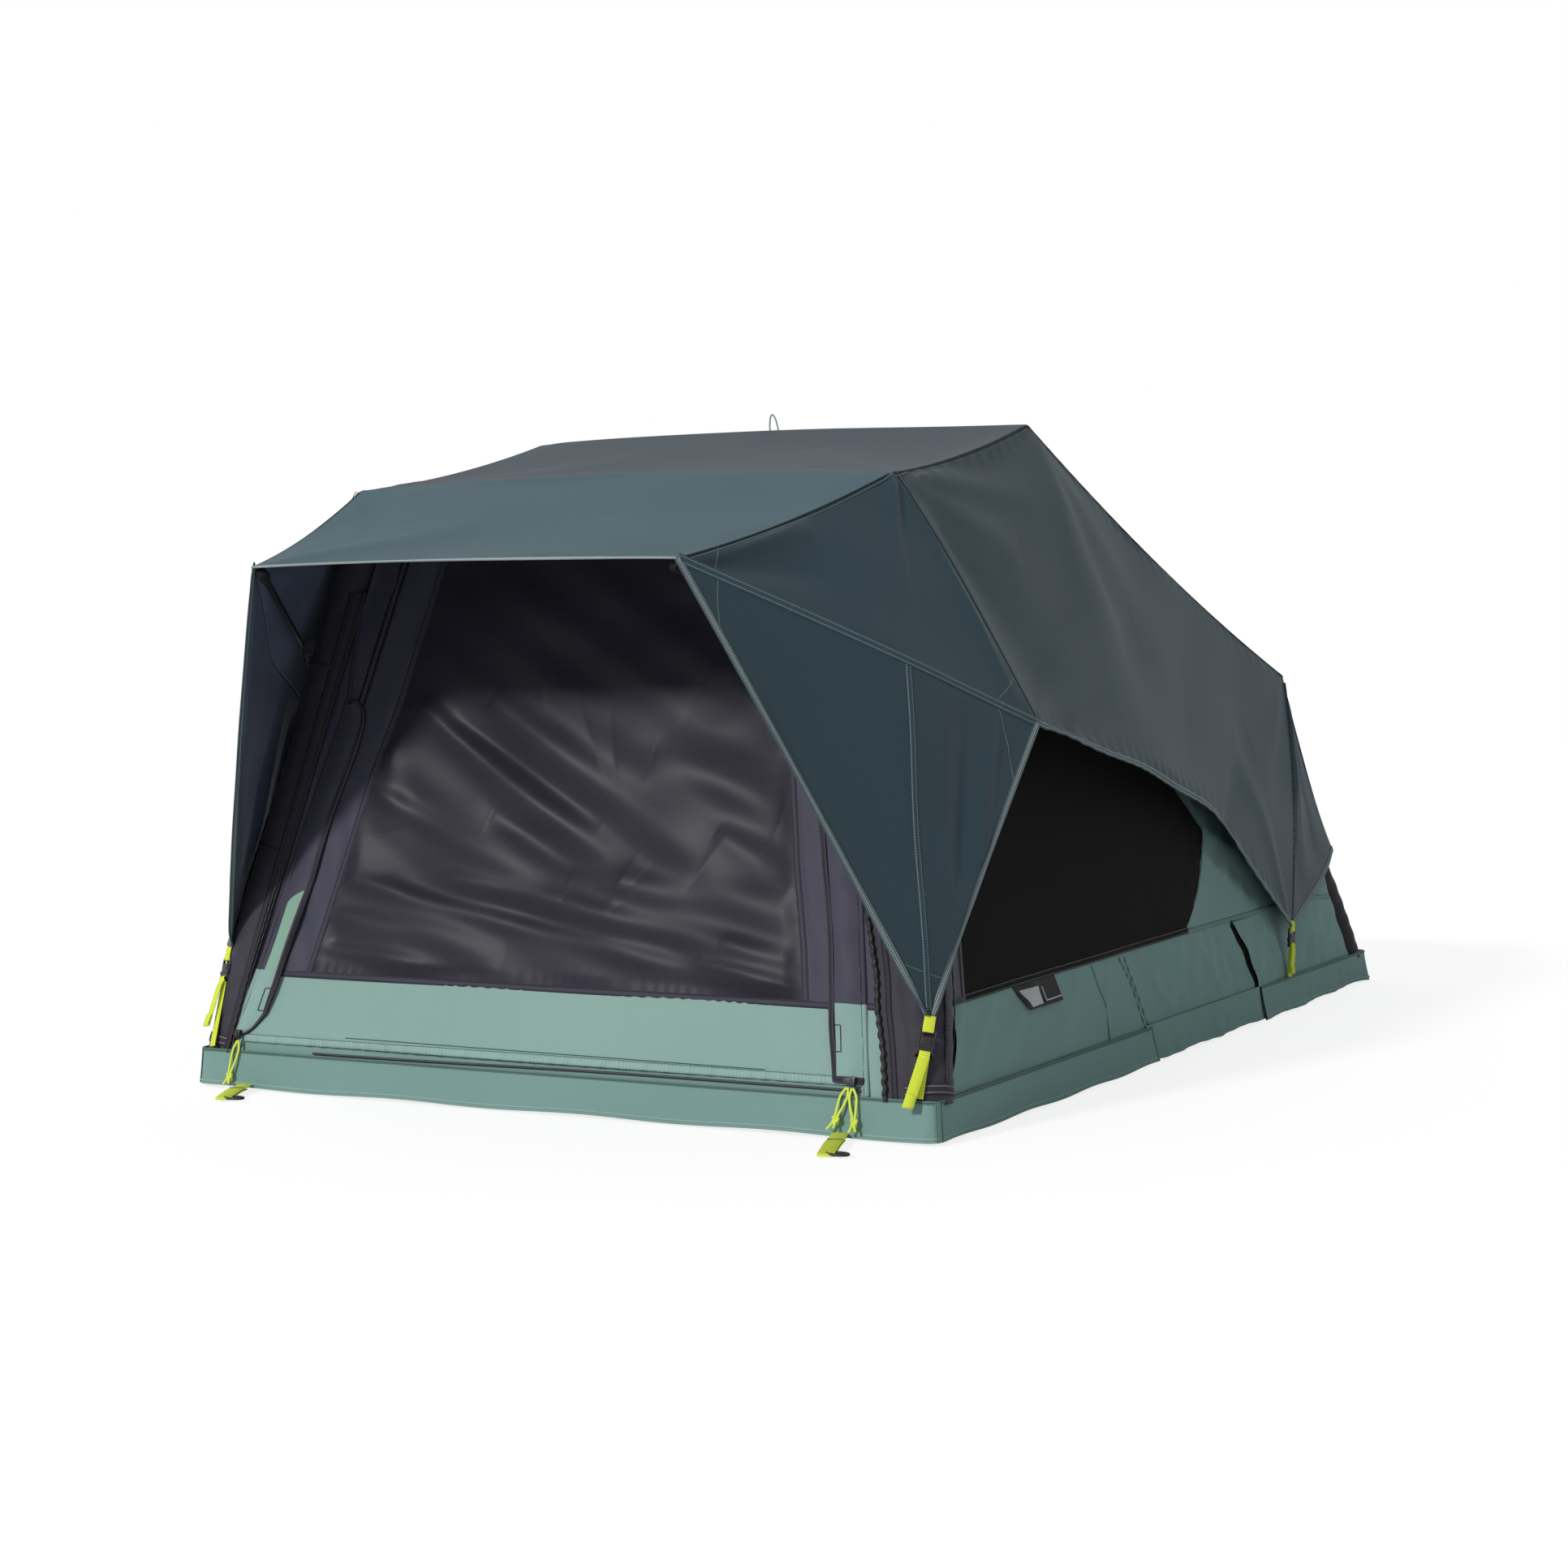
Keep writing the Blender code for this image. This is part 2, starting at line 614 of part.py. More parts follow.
def make_hoops(bodies, looks):
    """Three air beams in their sleeves, which stand on the frame."""
    hoops = {
        "near": (NEAR_FOOT, NEAR_CORNER),
        "ridge": (RIDGE_FOOT, RIDGE_CORNER),
        "far": (FAR_FOOT, FAR_CORNER),
    }
    for name, (foot, corner) in hoops.items():
        bm = bmesh.new()
        add_tube(bm, hoop_path(foot, corner), BEAM_RADIUS, BEAM_SIDES)
        flatten_feet(bm, foot.z)
        smooth(piece(name + "_air_beam", bm, looks["sleeve"], bodies[name + "_hoop"]), 50)


def flatten_feet(bm, z):
    """Cuts the slanting ends of a hoop level with its feet."""
    for v in bm.verts:
        if v.co.z < z + BEAM_RADIUS / 2:
            v.co.z = z


def make_rods(bodies, looks):
    """Sockets on the near hoop, and the rods that hold the awning's and the wings' corners."""
    dome = [math.radians(15 * i) for i in range(1, 7)]
    grown = bmesh.new()
    add_tube(grown, hoop_path(NEAR_FOOT, NEAR_CORNER), BEAM_RADIUS + 2 * GAP, BEAM_SIDES)
    seat = piece("socket_seat", grown, looks["sleeve"], bodies["near_hoop"])
    for side, sign in SIDES.items():
        places = rod_places(sign)
        socket = bmesh.new()
        inside = places["beam"] + places["out"] * BEAM_RADIUS * 0.8
        face = places["beam"] + places["out"] * (BEAM_RADIUS + SOCKET_REACH)
        add_bar(socket, inside, face, SOCKET_WIDTH, SOCKET_HEIGHT, places["line"])
        block = piece("rod_socket_" + side, socket, looks["plastic"], bodies["near_hoop"], face)
        combine(block, seat, "DIFFERENCE")
        for kind in ("awning", "wing"):
            start, tip = places[kind]
            profile = [(-ROD_RADIUS * math.cos(a), ROD_RADIUS * math.sin(a)) for a in dome]
            rod = bmesh.new()
            profile.append(((tip - start).length, ROD_RADIUS))
            add_turned(rod, start, (tip - start).normalized(), profile, 12)
            body = bodies[f"{kind}_rod_{side}"]
            smooth(piece(f"{kind}_rod_{side}", rod, looks["rod"], body, start))


def rod_places(sign):
    """A side's rods as start and tip, and how their socket stands on the near hoop."""
    beam = at(between(SOCKET_Z, NEAR_FOOT.z, NEAR_CORNER.z, NEAR_FOOT.x, NEAR_CORNER.x),
              axis_y(NEAR_FOOT, NEAR_CORNER, SOCKET_Z), SOCKET_Z)
    points, panels = fly_panels()
    steps = fly_steps(points, panels)
    tips = {}
    for kind in ("awning", "wing"):
        corner = kind + "_right"
        tips[kind] = points[corner] + steps[corner].normalized() * ROD_TIP_DEPTH
    line = (tips["awning"] - tips["wing"]).normalized()
    up = (NEAR_CORNER - NEAR_FOOT).normalized()
    out = up.cross(line).normalized()
    line = out.cross(up)
    pivot_line = beam + out * (BEAM_RADIUS + SOCKET_REACH + ROD_RADIUS + 2 * GAP)
    spread = line * ROD_SPACING / 2
    found = {
        "beam": beam,
        "out": out,
        "line": line,
        "up": up,
        "awning": [pivot_line + spread, tips["awning"]],
        "wing": [pivot_line - spread, tips["wing"]],
    }
    if sign < 0:
        flip = Matrix.Diagonal((-1, 1, 1))
        found = {n: [flip @ p for p in v] if isinstance(v, list) else flip @ v for n, v in found.items()}
    return found


def fly_points():
    """The flysheet's corners on the right side, on its outer face."""
    fold_half = between(FOLD_Y, RIDGE_Y, FAR_CREST[0], RIDGE_HALF, FAR_HALF)
    hem_share = (FOLD_Y - HEM_MIDDLE[1]) / (HEM_KINK[1] - HEM_MIDDLE[1])
    hem_fold = Vector(HEM_MIDDLE).lerp(Vector(HEM_KINK), hem_share)
    return {
        "awning": at(AWNING_HALF, -AWNING_REACH, AWNING_Z),
        "crest": at(NEAR_CREST_HALF, *NEAR_CREST),
        "ridge": at(RIDGE_HALF, *RIDGE_CREST),
        "fold": at(fold_half, FOLD_Y, FOLD_CREST_Z),
        "far": at(FAR_HALF, *FAR_CREST),
        "kink": at(*KINK),
        "wing": at(*WING_CORNER),
        "tip": at(*WING_TIP),
        "hem": at(*HEM_MIDDLE),
        "hem_fold": at(*hem_fold),
        "hem_kink": at(*HEM_KINK),
        "ear": at(*EAR_TIP),
        "end": at(END_HEM_HALF, fly_end_y(END_HEM_Z), END_HEM_Z),
        "arch": at(END_ARCH_HALF, fly_end_y(END_ARCH_SIDE_Z), END_ARCH_SIDE_Z),
    }


FLY_SIDE = {
    "wing": (("awning", "tip", "kink"), ("kink", "tip", "wing"), ("awning", "kink", "crest"),
             ("kink", "wing", "crest")),
    "side_near": (("crest", "wing", "ridge"), ("ridge", "wing", "hem"), ("ridge", "hem", "hem_fold"),
                  ("ridge", "hem_fold", "fold")),
    "side_far": (("fold", "hem_fold", "hem_kink"), ("fold", "hem_kink", "far"),
                 ("far", "hem_kink", "ear"), ("far", "ear", "end")),
}
FLY_TOP = {
    "awning": ("awning", "crest"),
    "roof_near": ("crest", "ridge", "fold"),
    "roof_far": ("fold", "far"),
}


def fly_panels():
    """The flysheet's points, and the faces of each cloth panel that it is sewn from."""
    right = fly_points()
    points = {n + "_right": p for n, p in right.items()}
    points.update({n + "_left": p for n, p in mirror(right).items()})
    points["arch_middle"] = at(0, fly_end_y(END_ARCH_Z), END_ARCH_Z)
    panels = {}
    for panel, faces in FLY_SIDE.items():
        panels[panel + "_right"] = [tuple(n + "_right" for n in face) for face in faces]
        panels[panel + "_left"] = [tuple(n + "_left" for n in reversed(face)) for face in faces]
    for panel, rows in FLY_TOP.items():
        pairs = zip(rows, rows[1:])
        panels[panel] = [(a + "_left", a + "_right", b + "_right", b + "_left") for a, b in pairs]
    panels["end"] = [
        ("far_right", "end_right", "arch_right"), ("arch_left", "end_left", "far_left"),
        ("far_right", "arch_right", "arch_middle"), ("arch_middle", "arch_left", "far_left"),
        ("far_left", "far_right", "arch_middle"),
    ]
    return points, panels


def fly_steps(points, panels):
    return inward_steps(points, [face for faces in panels.values() for face in faces], FLY_T)


def make_fly(bodies, looks):
    """The flysheet, cut into its cloth panels and at the fold line."""
    points, panels = fly_panels()
    steps = fly_steps(points, panels)
    for panel, faces in panels.items():
        far = panel in ("roof_far", "end") or panel.startswith("side_far")
        body = bodies["far" if far else "near"]
        sheet("fly_" + panel, points, steps, faces, looks["fly"], body)


def far_wall_lean(y):
    return between(y, FOLD_Y, BASE_LENGTH - FAR_FOOT_BACK, WALL_LEAN, WALL_FAR_LEAN)


def side_x(y, z):
    """The outer face of the side walls: an even lean as far as the fold, then a growing one."""
    lean = far_wall_lean(y) if y > FOLD_Y else WALL_LEAN
    return FRAME_HALF - lean * (z - WALL_FOOT_Z)


def make_walls(bodies, looks):
    """Side walls of both leaves with their window panels, the front wall and the end wall."""
    clear = BEAM_RADIUS + 2 * GAP
    near_low = axis_y(NEAR_FOOT, NEAR_CORNER, WALL_FOOT_Z) + clear
    near_high = axis_y(NEAR_FOOT, NEAR_CORNER, WALL_NEAR_TOP_Z) + clear
    far_low = axis_y(FAR_FOOT, FAR_CORNER, WALL_FOOT_Z) - clear
    far_high = axis_y(FAR_FOOT, FAR_CORNER, WALL_FAR_TOP_Z) - clear
    edges = {
        "near": [(near_low, WALL_FOOT_Z), (FOLD_Y - GAP, WALL_FOOT_Z), (FOLD_Y - GAP, WALL_FOLD_TOP_Z),
                 (RIDGE_Y, WALL_RIDGE_TOP_Z), (near_high, WALL_NEAR_TOP_Z)],
        "far": [(FOLD_Y + GAP, WALL_FOOT_Z), (far_low, WALL_FOOT_Z), (far_high, WALL_FAR_TOP_Z),
                (FOLD_Y + GAP, WALL_FOLD_TOP_Z)],
    }
    for side, sign in SIDES.items():
        walls = {}
        for leaf, edge in edges.items():
            bm = bmesh.new()
            add_wall(bm, edge, sign)
            walls[leaf] = piece(f"wall_{leaf}_{side}", bm, looks["green"], bodies[leaf])
        combine(walls["near"], window_pane(side, sign, looks, bodies), "DIFFERENCE")

    end = bmesh.new()
    outline = [(END_WALL_FOOT_HALF, WALL_FOOT_Z), (END_WALL_TOP_HALF, END_WALL_TOP_Z),
               (-END_WALL_TOP_HALF, END_WALL_TOP_Z), (-END_WALL_FOOT_HALF, WALL_FOOT_Z)]
    add_prism(end, [at(x, end_wall_y(z), z) for x, z in outline], Vector((0, -WALL_T, 0)))
    piece("end_wall", end, looks["green"], bodies["far"])


def add_wall(bm, edge, sign):
    """A thin side wall inside its (y, z) outline, which leans as side_x says."""
    inward = Vector((-sign * WALL_T, 0, 0))
    outline = [at(sign * side_x(y, z), y, z) for y, z in edge]
    outer = [bm.verts.new(p) for p in outline]
    inner = [bm.verts.new(p + inward) for p in outline]
    count = len(edge)
    for i in range(1, count - 1):
        bm.faces.new((outer[0], outer[i], outer[i + 1]))
        bm.faces.new((inner[0], inner[i + 1], inner[i]))
    for i in range(count):
        j = (i + 1) % count
        bm.faces.new((outer[i], inner[i], inner[j], outer[j]))


def window_pane(side, sign, looks, bodies):
    """The window panel in its opening, and the slightly larger body that cuts the opening."""
    middle = Vector(WINDOW_MIDDLE)
    inward = Vector((-sign * WALL_T, 0, 0))
    pane = bmesh.new()
    add_prism(pane, [at(sign * side_x(y, z), y, z) for y, z in WINDOW], inward)
    piece("window_" + side, pane, looks["window"], bodies["near"])
    grown = []
    for corner in WINDOW:
        y, z = Vector(corner) + (Vector(corner) - middle).normalized() * WINDOW_CLEARANCE
        grown.append(at(sign * side_x(y, z), y, z) - inward)
    cutter = bmesh.new()
    add_prism(cutter, grown, inward * 3)
    return piece("opening_" + side, cutter, looks["window"], bodies["near"])


def make_front(bodies, looks):
    """The front wall round the door, with the rain flaps that are sewn to it, and the door panel."""
    outline = [(front_half(WALL_FOOT_Z), WALL_FOOT_Z), (front_half(FRONT_TOP_Z), FRONT_TOP_Z),
               (-front_half(FRONT_TOP_Z), FRONT_TOP_Z), (-front_half(WALL_FOOT_Z), WALL_FOOT_Z),
               (-door_half(WALL_FOOT_Z) - GAP, WALL_FOOT_Z), (-door_half(DOOR_TOP_Z) - GAP, DOOR_TOP_Z + GAP),
               (door_half(DOOR_TOP_Z) + GAP, DOOR_TOP_Z + GAP), (door_half(WALL_FOOT_Z) + GAP, WALL_FOOT_Z)]
    wall = bmesh.new()
    add_prism(wall, [at(x, front_y(z), z) for x, z in outline], Vector((0, WALL_T, 0)))
    front = piece("front_wall", wall, looks["dark"], bodies["near"])
    inner = -FLAP_LAP
    sewn = FLAP_WIDTH / 2 - FLAP_LAP
    outer = FLAP_WIDTH - FLAP_LAP
    clear = 2 * GAP
    section = [(inner, -clear - FLAP_T), (outer, -clear - FLAP_T), (outer, WALL_T / 2), (sewn, WALL_T / 2),
               (sewn, -clear), (inner, -clear)]
    for side, sign in SIDES.items():
        foot, top = (at(sign * door_half(z), front_y(z), z) for z in (FLAP_FOOT_Z, FLAP_TOP_Z))
        flap = bmesh.new()
        add_prism(flap, [foot + Vector((sign * x, y, 0)) for x, y in section], top - foot)
        combine(front, piece("flap_" + side, flap, looks["dark"], bodies["near"]), "UNION")

    door = bmesh.new()
    outline = [(DOOR_FOOT_HALF, DOOR_FOOT_Z), (DOOR_TOP_HALF, DOOR_TOP_Z),
               (-DOOR_TOP_HALF, DOOR_TOP_Z), (-DOOR_FOOT_HALF, DOOR_FOOT_Z)]
    add_prism(door, [at(x, front_y(z), z) for x, z in outline], Vector((0, WALL_T, 0)))
    piece("door_panel", door, looks["dark"], bodies["door"])


def slider_places():
    """Where the three zip sliders lie: the side ones by the flaps, the bottom one beside the right one."""
    low = DOOR_FOOT_Z + SLIDER_LENGTH
    edge = door_half(low) - FLAP_LAP - SLIDER_INSET
    foot = DOOR_FOOT_Z + SLIDER_WIDTH
    return {
        "left": (at(-edge, front_y(low), low), zip_direction(-1)),
        "right": (at(edge, front_y(low), low), zip_direction(1)),
        "bottom": (at(edge - 2 * SLIDER_LENGTH, front_y(foot), foot), Vector((1, 0, 0))),
    }


def zip_direction(sign):
    """Up along the side zip of the door."""
    rise = DOOR_TOP_Z - DOOR_FOOT_Z
    return Vector((sign * (DOOR_TOP_HALF - DOOR_FOOT_HALF), FRONT_LEAN * rise, rise)).normalized()


def make_sliders(bodies, looks):
    """Sliders flat on the cloth, each with a cord pull that hangs from it."""
    out = Vector((0, -1, FRONT_LEAN)).normalized()
    for name, (place, along) in slider_places().items():
        body = bodies["slider_" + name]
        base = place + out * (SLIDER_T / 2 + 3 * GAP)
        reach = along * SLIDER_LENGTH / 2
        block = bmesh.new()
        add_bar(block, base - reach, base + reach, SLIDER_WIDTH, SLIDER_T, along.cross(out))
        slider = piece("zip_slider_" + name, block, looks["cord"], body)
        hang = Vector((0, -PULL_LEAN, -1)) * PULL_LENGTH
        start = base + out * PULL_RADIUS
        pull = bmesh.new()
        add_tube(pull, [start, start + hang], PULL_RADIUS, 8)
        combine(slider, piece("pull_" + name, pull, looks["cord"], body), "UNION")


def make_skirts(bodies, looks):
    """The cloth band round each leaf's frame, open at the fold."""
    for leaf, sign in (("near", -1), ("far", 1)):
        fold = FOLD_Y + sign * GAP
        edge = 0 if leaf == "near" else BASE_LENGTH
        loops = []
        for half, end in ((HALF, edge), (HALF - SKIRT_T, edge - sign * SKIRT_T)):
            corners = [(half, fold), (half, end), (-half, end), (-half, fold)]
            loops.append([at(x, y, SKIRT_LIFT) for x, y in corners])
        bm = bmesh.new()
        add_ring(bm, *loops, Vector((0, 0, SKIRT_TOP - SKIRT_LIFT)), closed=False)
        piece("skirt_" + leaf, bm, looks["green"], bodies[leaf])


def make_straps(bodies, looks):
    """The webbing that ties down the flysheet's four low corners, each through its ladder-lock."""
    near_foot = at(HALF - STRAP_FOOT_INSET, -STRAP_OUT, STRAP_FOOT_Z)
    far_foot = at(HALF + STRAP_OUT, EAR_TIP[1] - STRAP_FOOT_INSET, STRAP_FOOT_Z)
    corners = {
        "near": (at(*WING_TIP), near_foot, Vector((1, 0, 0))),
        "far": (at(*EAR_TIP), far_foot, Vector((0, 1, 0))),
    }
    for leaf, (top, foot, across) in corners.items():
        for side, sign in SIDES.items():
            flip = Matrix.Diagonal((sign, 1, 1))
            start = flip @ (top - Vector((0, 0, STRAP_TOP_GAP)))
            end = flip @ foot
            along = (end - start).normalized()
            width = flip @ across
            width = (width - along * width.dot(along)).normalized()
            up = along.cross(width)
            strap = bmesh.new()
            add_bar(strap, start, end, STRAP_WIDTH, STRAP_T, width)
            piece(f"corner_strap_{leaf}_{side}", strap, looks["webbing"], bodies[leaf])
            centre = start + along * BUCKLE_DROP
            outer = rectangle(centre, width, up, BUCKLE_WIDTH, BUCKLE_T)
            hole = rectangle(centre, width, up, STRAP_WIDTH + 2 * GAP, STRAP_T + 2 * GAP)
            buckle = bmesh.new()
            add_ring(buckle, outer, hole, along * BUCKLE_LENGTH)
            piece(f"strap_buckle_{leaf}_{side}", buckle, looks["plastic"], bodies[leaf])


def make_tabs(bodies, looks):
    """Webbing tabs that come out from under the near leaf, with a ring sewn into each."""
    under = FRAME_Z - GAP
    section = [(-TAB_REACH, 0), (SKIRT_T, 0), (TAB_HOLD, under - TAB_T),
               (TAB_HOLD + FRAME_WIDTH / 2, under - TAB_T), (TAB_HOLD + FRAME_WIDTH / 2, under),
               (TAB_HOLD - TAB_T, under), (SKIRT_T - TAB_T, TAB_T), (-TAB_REACH, TAB_T)]
    for side, sign in SIDES.items():
        left = sign * TAB_X - TAB_WIDTH / 2
        tab = bmesh.new()
        add_prism(tab, [at(left, y, z) for y, z in section], Vector((TAB_WIDTH, 0, 0)))
        made = piece("ground_tab_" + side, tab, looks["webbing"], bodies["near"])
        centre = at(sign * TAB_X + TAB_WIDTH / 2, RING_PLACE - TAB_REACH, RING_WIRE)
        path = []
        steps = 16
        for i in range(steps):
            turn = 2 * math.pi * i / steps
            path.append(centre + Vector((math.cos(turn), math.sin(turn), 0)) * RING_RADIUS)
        ring = bmesh.new()
        add_tube(ring, path, RING_WIRE, 8, closed=True)
        combine(made, piece("tab_ring_" + side, ring, looks["plastic"], bodies["near"]), "UNION")


def make_loop(bodies, looks):
    """The cord loop that stands on the ridge."""
    bm = bmesh.new()
    foot = RIDGE_Z + 2 * GAP
    path = []
    steps = 8
    for i in range(steps + 1):
        turn = math.pi * i / steps
        path.append(at(LOOP_WIDTH / 2 * math.cos(turn), RIDGE_Y, foot + LOOP_HEIGHT * math.sin(turn)))
    add_tube(bm, path, LOOP_WIRE, 8)
    for v in bm.verts:
        v.co.z = max(v.co.z, foot)
    smooth(piece("ridge_loop", bm, looks["binding"], bodies["near"]))


def make_looks():
    return {
        "fly": material("fly cloth", (0.060, 0.095, 0.110), 0.6),
        "green": material("green cloth", (0.110, 0.200, 0.175), 0.75),
        "dark": material("dark lining cloth", (0.048, 0.042, 0.058), 0.7),
        "window": material("window panel", (0.012, 0.012, 0.014), 0.85),
        "sleeve": material("beam sleeve", (0.040, 0.034, 0.045), 0.7),
        "mattress": material("mattress cover", (0.120, 0.125, 0.135), 0.9),
        "board": material("floor board", (0.160, 0.165, 0.170), 0.6),
        "aluminium": material("aluminium", (0.620, 0.630, 0.640), 0.4, 0.9),
        "steel": material("plated steel", (0.500, 0.510, 0.520), 0.35, 1.0),
        "rod": material("awning rod", (0.020, 0.020, 0.022), 0.4),
        "plastic": material("black plastic", (0.015, 0.015, 0.017), 0.45),
        "webbing": material("lime webbing", (0.700, 0.850, 0.090), 0.7),
        "cord": material("lime cord", (0.700, 0.850, 0.150), 0.7),
        "binding": material("grey binding", (0.300, 0.360, 0.370), 0.7),
    }


def make_bodies():
    """One empty for each part that moves, on its joint's axis."""
    far = pivot("far_leaf", at(0, BASE_LENGTH, 0))
    near = pivot("near_leaf", at(0, FOLD_Y, PIVOT_Z), far)
    bodies = {"far": far, "near": near}
    hoops = (("near", NEAR_FOOT, near), ("ridge", RIDGE_FOOT, near), ("far", FAR_FOOT, far))
    for name, foot, parent in hoops:
        bodies[name + "_hoop"] = pivot(name + "_hoop", Vector((0, foot.y, foot.z)), parent)
    for side, sign in SIDES.items():
        places = rod_places(sign)
        for kind in ("awning", "wing"):
            name = kind + "_rod_" + side
            bodies[name] = pivot(name + "_pivot", places[kind][0], bodies["near_hoop"])
    bodies["door"] = pivot("door", at(0, front_y(DOOR_TOP_Z), DOOR_TOP_Z), near)
    for name in ("left", "right", "bottom"):
        bodies["slider_" + name] = pivot("slider_" + name, slider_places()[name][0], near)
    return bodies


def build():
    for obj in list(bpy.data.objects):
        bpy.data.objects.remove(obj, do_unlink=True)
    looks = make_looks()
    bodies = make_bodies()
    make_base(bodies, looks)
    make_hinge(bodies, looks)
    make_hoops(bodies, looks)
    make_rods(bodies, looks)
    make_fly(bodies, looks)
    make_walls(bodies, looks)
    make_front(bodies, looks)
    make_sliders(bodies, looks)
    make_skirts(bodies, looks)
    make_straps(bodies, looks)
    make_tabs(bodies, looks)
    make_loop(bodies, looks)


build()
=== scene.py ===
"""Looks of the fold-out roof-top tent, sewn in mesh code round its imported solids.
Metres, +Z up; y is counted from the near edge of the base and goes through at()."""
import math

import bmesh
import bpy
import numpy as np
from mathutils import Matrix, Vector


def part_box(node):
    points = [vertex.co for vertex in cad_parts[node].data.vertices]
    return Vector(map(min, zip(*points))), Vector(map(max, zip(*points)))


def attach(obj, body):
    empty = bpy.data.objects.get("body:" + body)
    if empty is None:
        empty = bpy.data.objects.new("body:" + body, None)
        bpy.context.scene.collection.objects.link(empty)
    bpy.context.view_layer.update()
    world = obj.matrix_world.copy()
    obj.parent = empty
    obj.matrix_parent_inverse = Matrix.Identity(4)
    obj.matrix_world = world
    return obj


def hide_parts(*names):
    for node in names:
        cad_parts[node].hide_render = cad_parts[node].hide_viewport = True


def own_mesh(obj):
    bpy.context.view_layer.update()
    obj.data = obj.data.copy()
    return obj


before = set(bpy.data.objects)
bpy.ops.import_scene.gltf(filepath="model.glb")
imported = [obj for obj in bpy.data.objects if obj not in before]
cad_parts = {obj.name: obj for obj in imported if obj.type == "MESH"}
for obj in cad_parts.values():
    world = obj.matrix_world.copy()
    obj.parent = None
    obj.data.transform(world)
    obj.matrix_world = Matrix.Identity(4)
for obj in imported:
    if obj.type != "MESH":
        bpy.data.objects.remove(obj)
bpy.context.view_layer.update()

NEAR_Y = -1.077
LENGTH = 2.385
FOLD_Y = 1.1925
HALF = 0.650
FRAME_HALF = 0.6467
FOOT_Z = 0.0556
BEAM_R = 0.0425
BEAM_FOOT = (0.605, 0.047)
BEAM_LEAN = (0.157, 0.2113)
WALL_LEAN = 0.195
WALL_LEAN_GROWS = 0.045
FAR_FOOT_Y = 2.300
FRONT_FOOT_Y = 0.0033
END_FOOT_Y = 2.356
END_LEAN = 0.385
FRONT_LEAN = 0.2353
FRONT_TOP = 0.872
DOOR_TOP = 0.855
BAND_Z = 0.190
SIDES = {"left": -1, "right": 1}
PLACE = {"near": "base_near", "far": "base_far"}


def at(x, y, z):
    x, y, z = np.broadcast_arrays(np.asarray(x, float), np.asarray(y, float) + NEAR_Y, np.asarray(z, float))
    return np.stack((x, y, z), -1)


INSIDE = at(0, 1.1, 0.35)


def side_x(y, z):
    """Half the width between the side walls, which lean in more and more towards the far end."""
    share = np.clip((np.asarray(y, float) - FOLD_Y) / (FAR_FOOT_Y - FOLD_Y), 0, 1.2)
    lean = WALL_LEAN + WALL_LEAN_GROWS * share
    return FRAME_HALF - lean * (np.asarray(z, float) - FOOT_Z)


def front_y(z):
    return FRONT_FOOT_Y + FRONT_LEAN * (np.asarray(z, float) - FOOT_Z)


def end_y(z):
    return END_FOOT_Y - END_LEAN * (np.asarray(z, float) - FOOT_Z)


def table(z, rows):
    """The value at z from rows of (z, value)."""
    rows = sorted(rows)
    return np.interp(z, [r[0] for r in rows], [r[1] for r in rows])


def front_half(z):
    """Half the width of the front wall."""
    return table(z, [(FOOT_Z, 0.583), (BAND_Z, 0.560), (0.44, 0.512), (0.756, 0.450), (FRONT_TOP, 0.427)])


# how far from the middle the door and its satin middle end on each side, as (height, distance)
DOOR_EDGE = {"left": [(0.074, 0.574), (0.100, 0.562), (0.160, 0.530), (0.200, 0.5185), (0.600, 0.428),
                      (DOOR_TOP, 0.372)],
             "right": [(0.074, 0.530), (0.200, 0.497), (0.600, 0.4244), (DOOR_TOP, 0.378)]}
PANEL_EDGE = {"left": [(BAND_Z, 0.4614), (0.361, 0.4208), (0.506, 0.3878), (0.618, 0.3535),
                       (DOOR_TOP, 0.301)],
              "right": [(BAND_Z, 0.430), (0.272, 0.417), (0.377, 0.3945), (0.505, 0.373), (0.616, 0.349),
                        (DOOR_TOP, 0.298)]}


def door_x(side, z):
    """Where the door ends on that side."""
    return SIDES[side] * table(z, DOOR_EDGE[side])


def panel_x(side, z):
    """Where the door's satin middle ends on that side."""
    return SIDES[side] * table(z, PANEL_EDGE[side])


def beside_panel(x, z):
    """How far inside the satin middle's nearer edge a place is."""
    return np.minimum(panel_x("right", z) - x, x - panel_x("left", z))


# Materials


def srgb(r, g, b):
    return tuple((c / 255 / 12.92) if c <= 10 else ((c / 255 + 0.055) / 1.055) ** 2.4 for c in (r, g, b))


def add(tree, kind, inputs=None, **settings):
    node = tree.nodes.new("ShaderNode" + kind)
    for key, value in settings.items():
        setattr(node, key, value)
    for key, value in (inputs or {}).items():
        if isinstance(value, bpy.types.NodeSocket):
            tree.links.new(value, node.inputs[key])
        else:
            node.inputs[key].default_value = value
    return node


def math_node(tree, operation, a, b=0.0, c=0.0):
    return add(tree, "Math", {0: a, 1: b, 2: c}, operation=operation).outputs[0]


def start_look(name, roughness, metallic, sheen, specular):
    made = bpy.data.materials.new(name)
    made.use_nodes = True
    tree = made.node_tree
    shader = tree.nodes["Principled BSDF"]
    for key, value in (("Roughness", roughness), ("Metallic", metallic), ("Sheen Weight", sheen),
                       ("Sheen Roughness", 0.45), ("Specular IOR Level", specular)):
        shader.inputs[key].default_value = value
    return made, tree, shader


STITCH_STEP, STITCH_SHARE, STITCH_HALF = 0.0042, 0.74, 0.0007


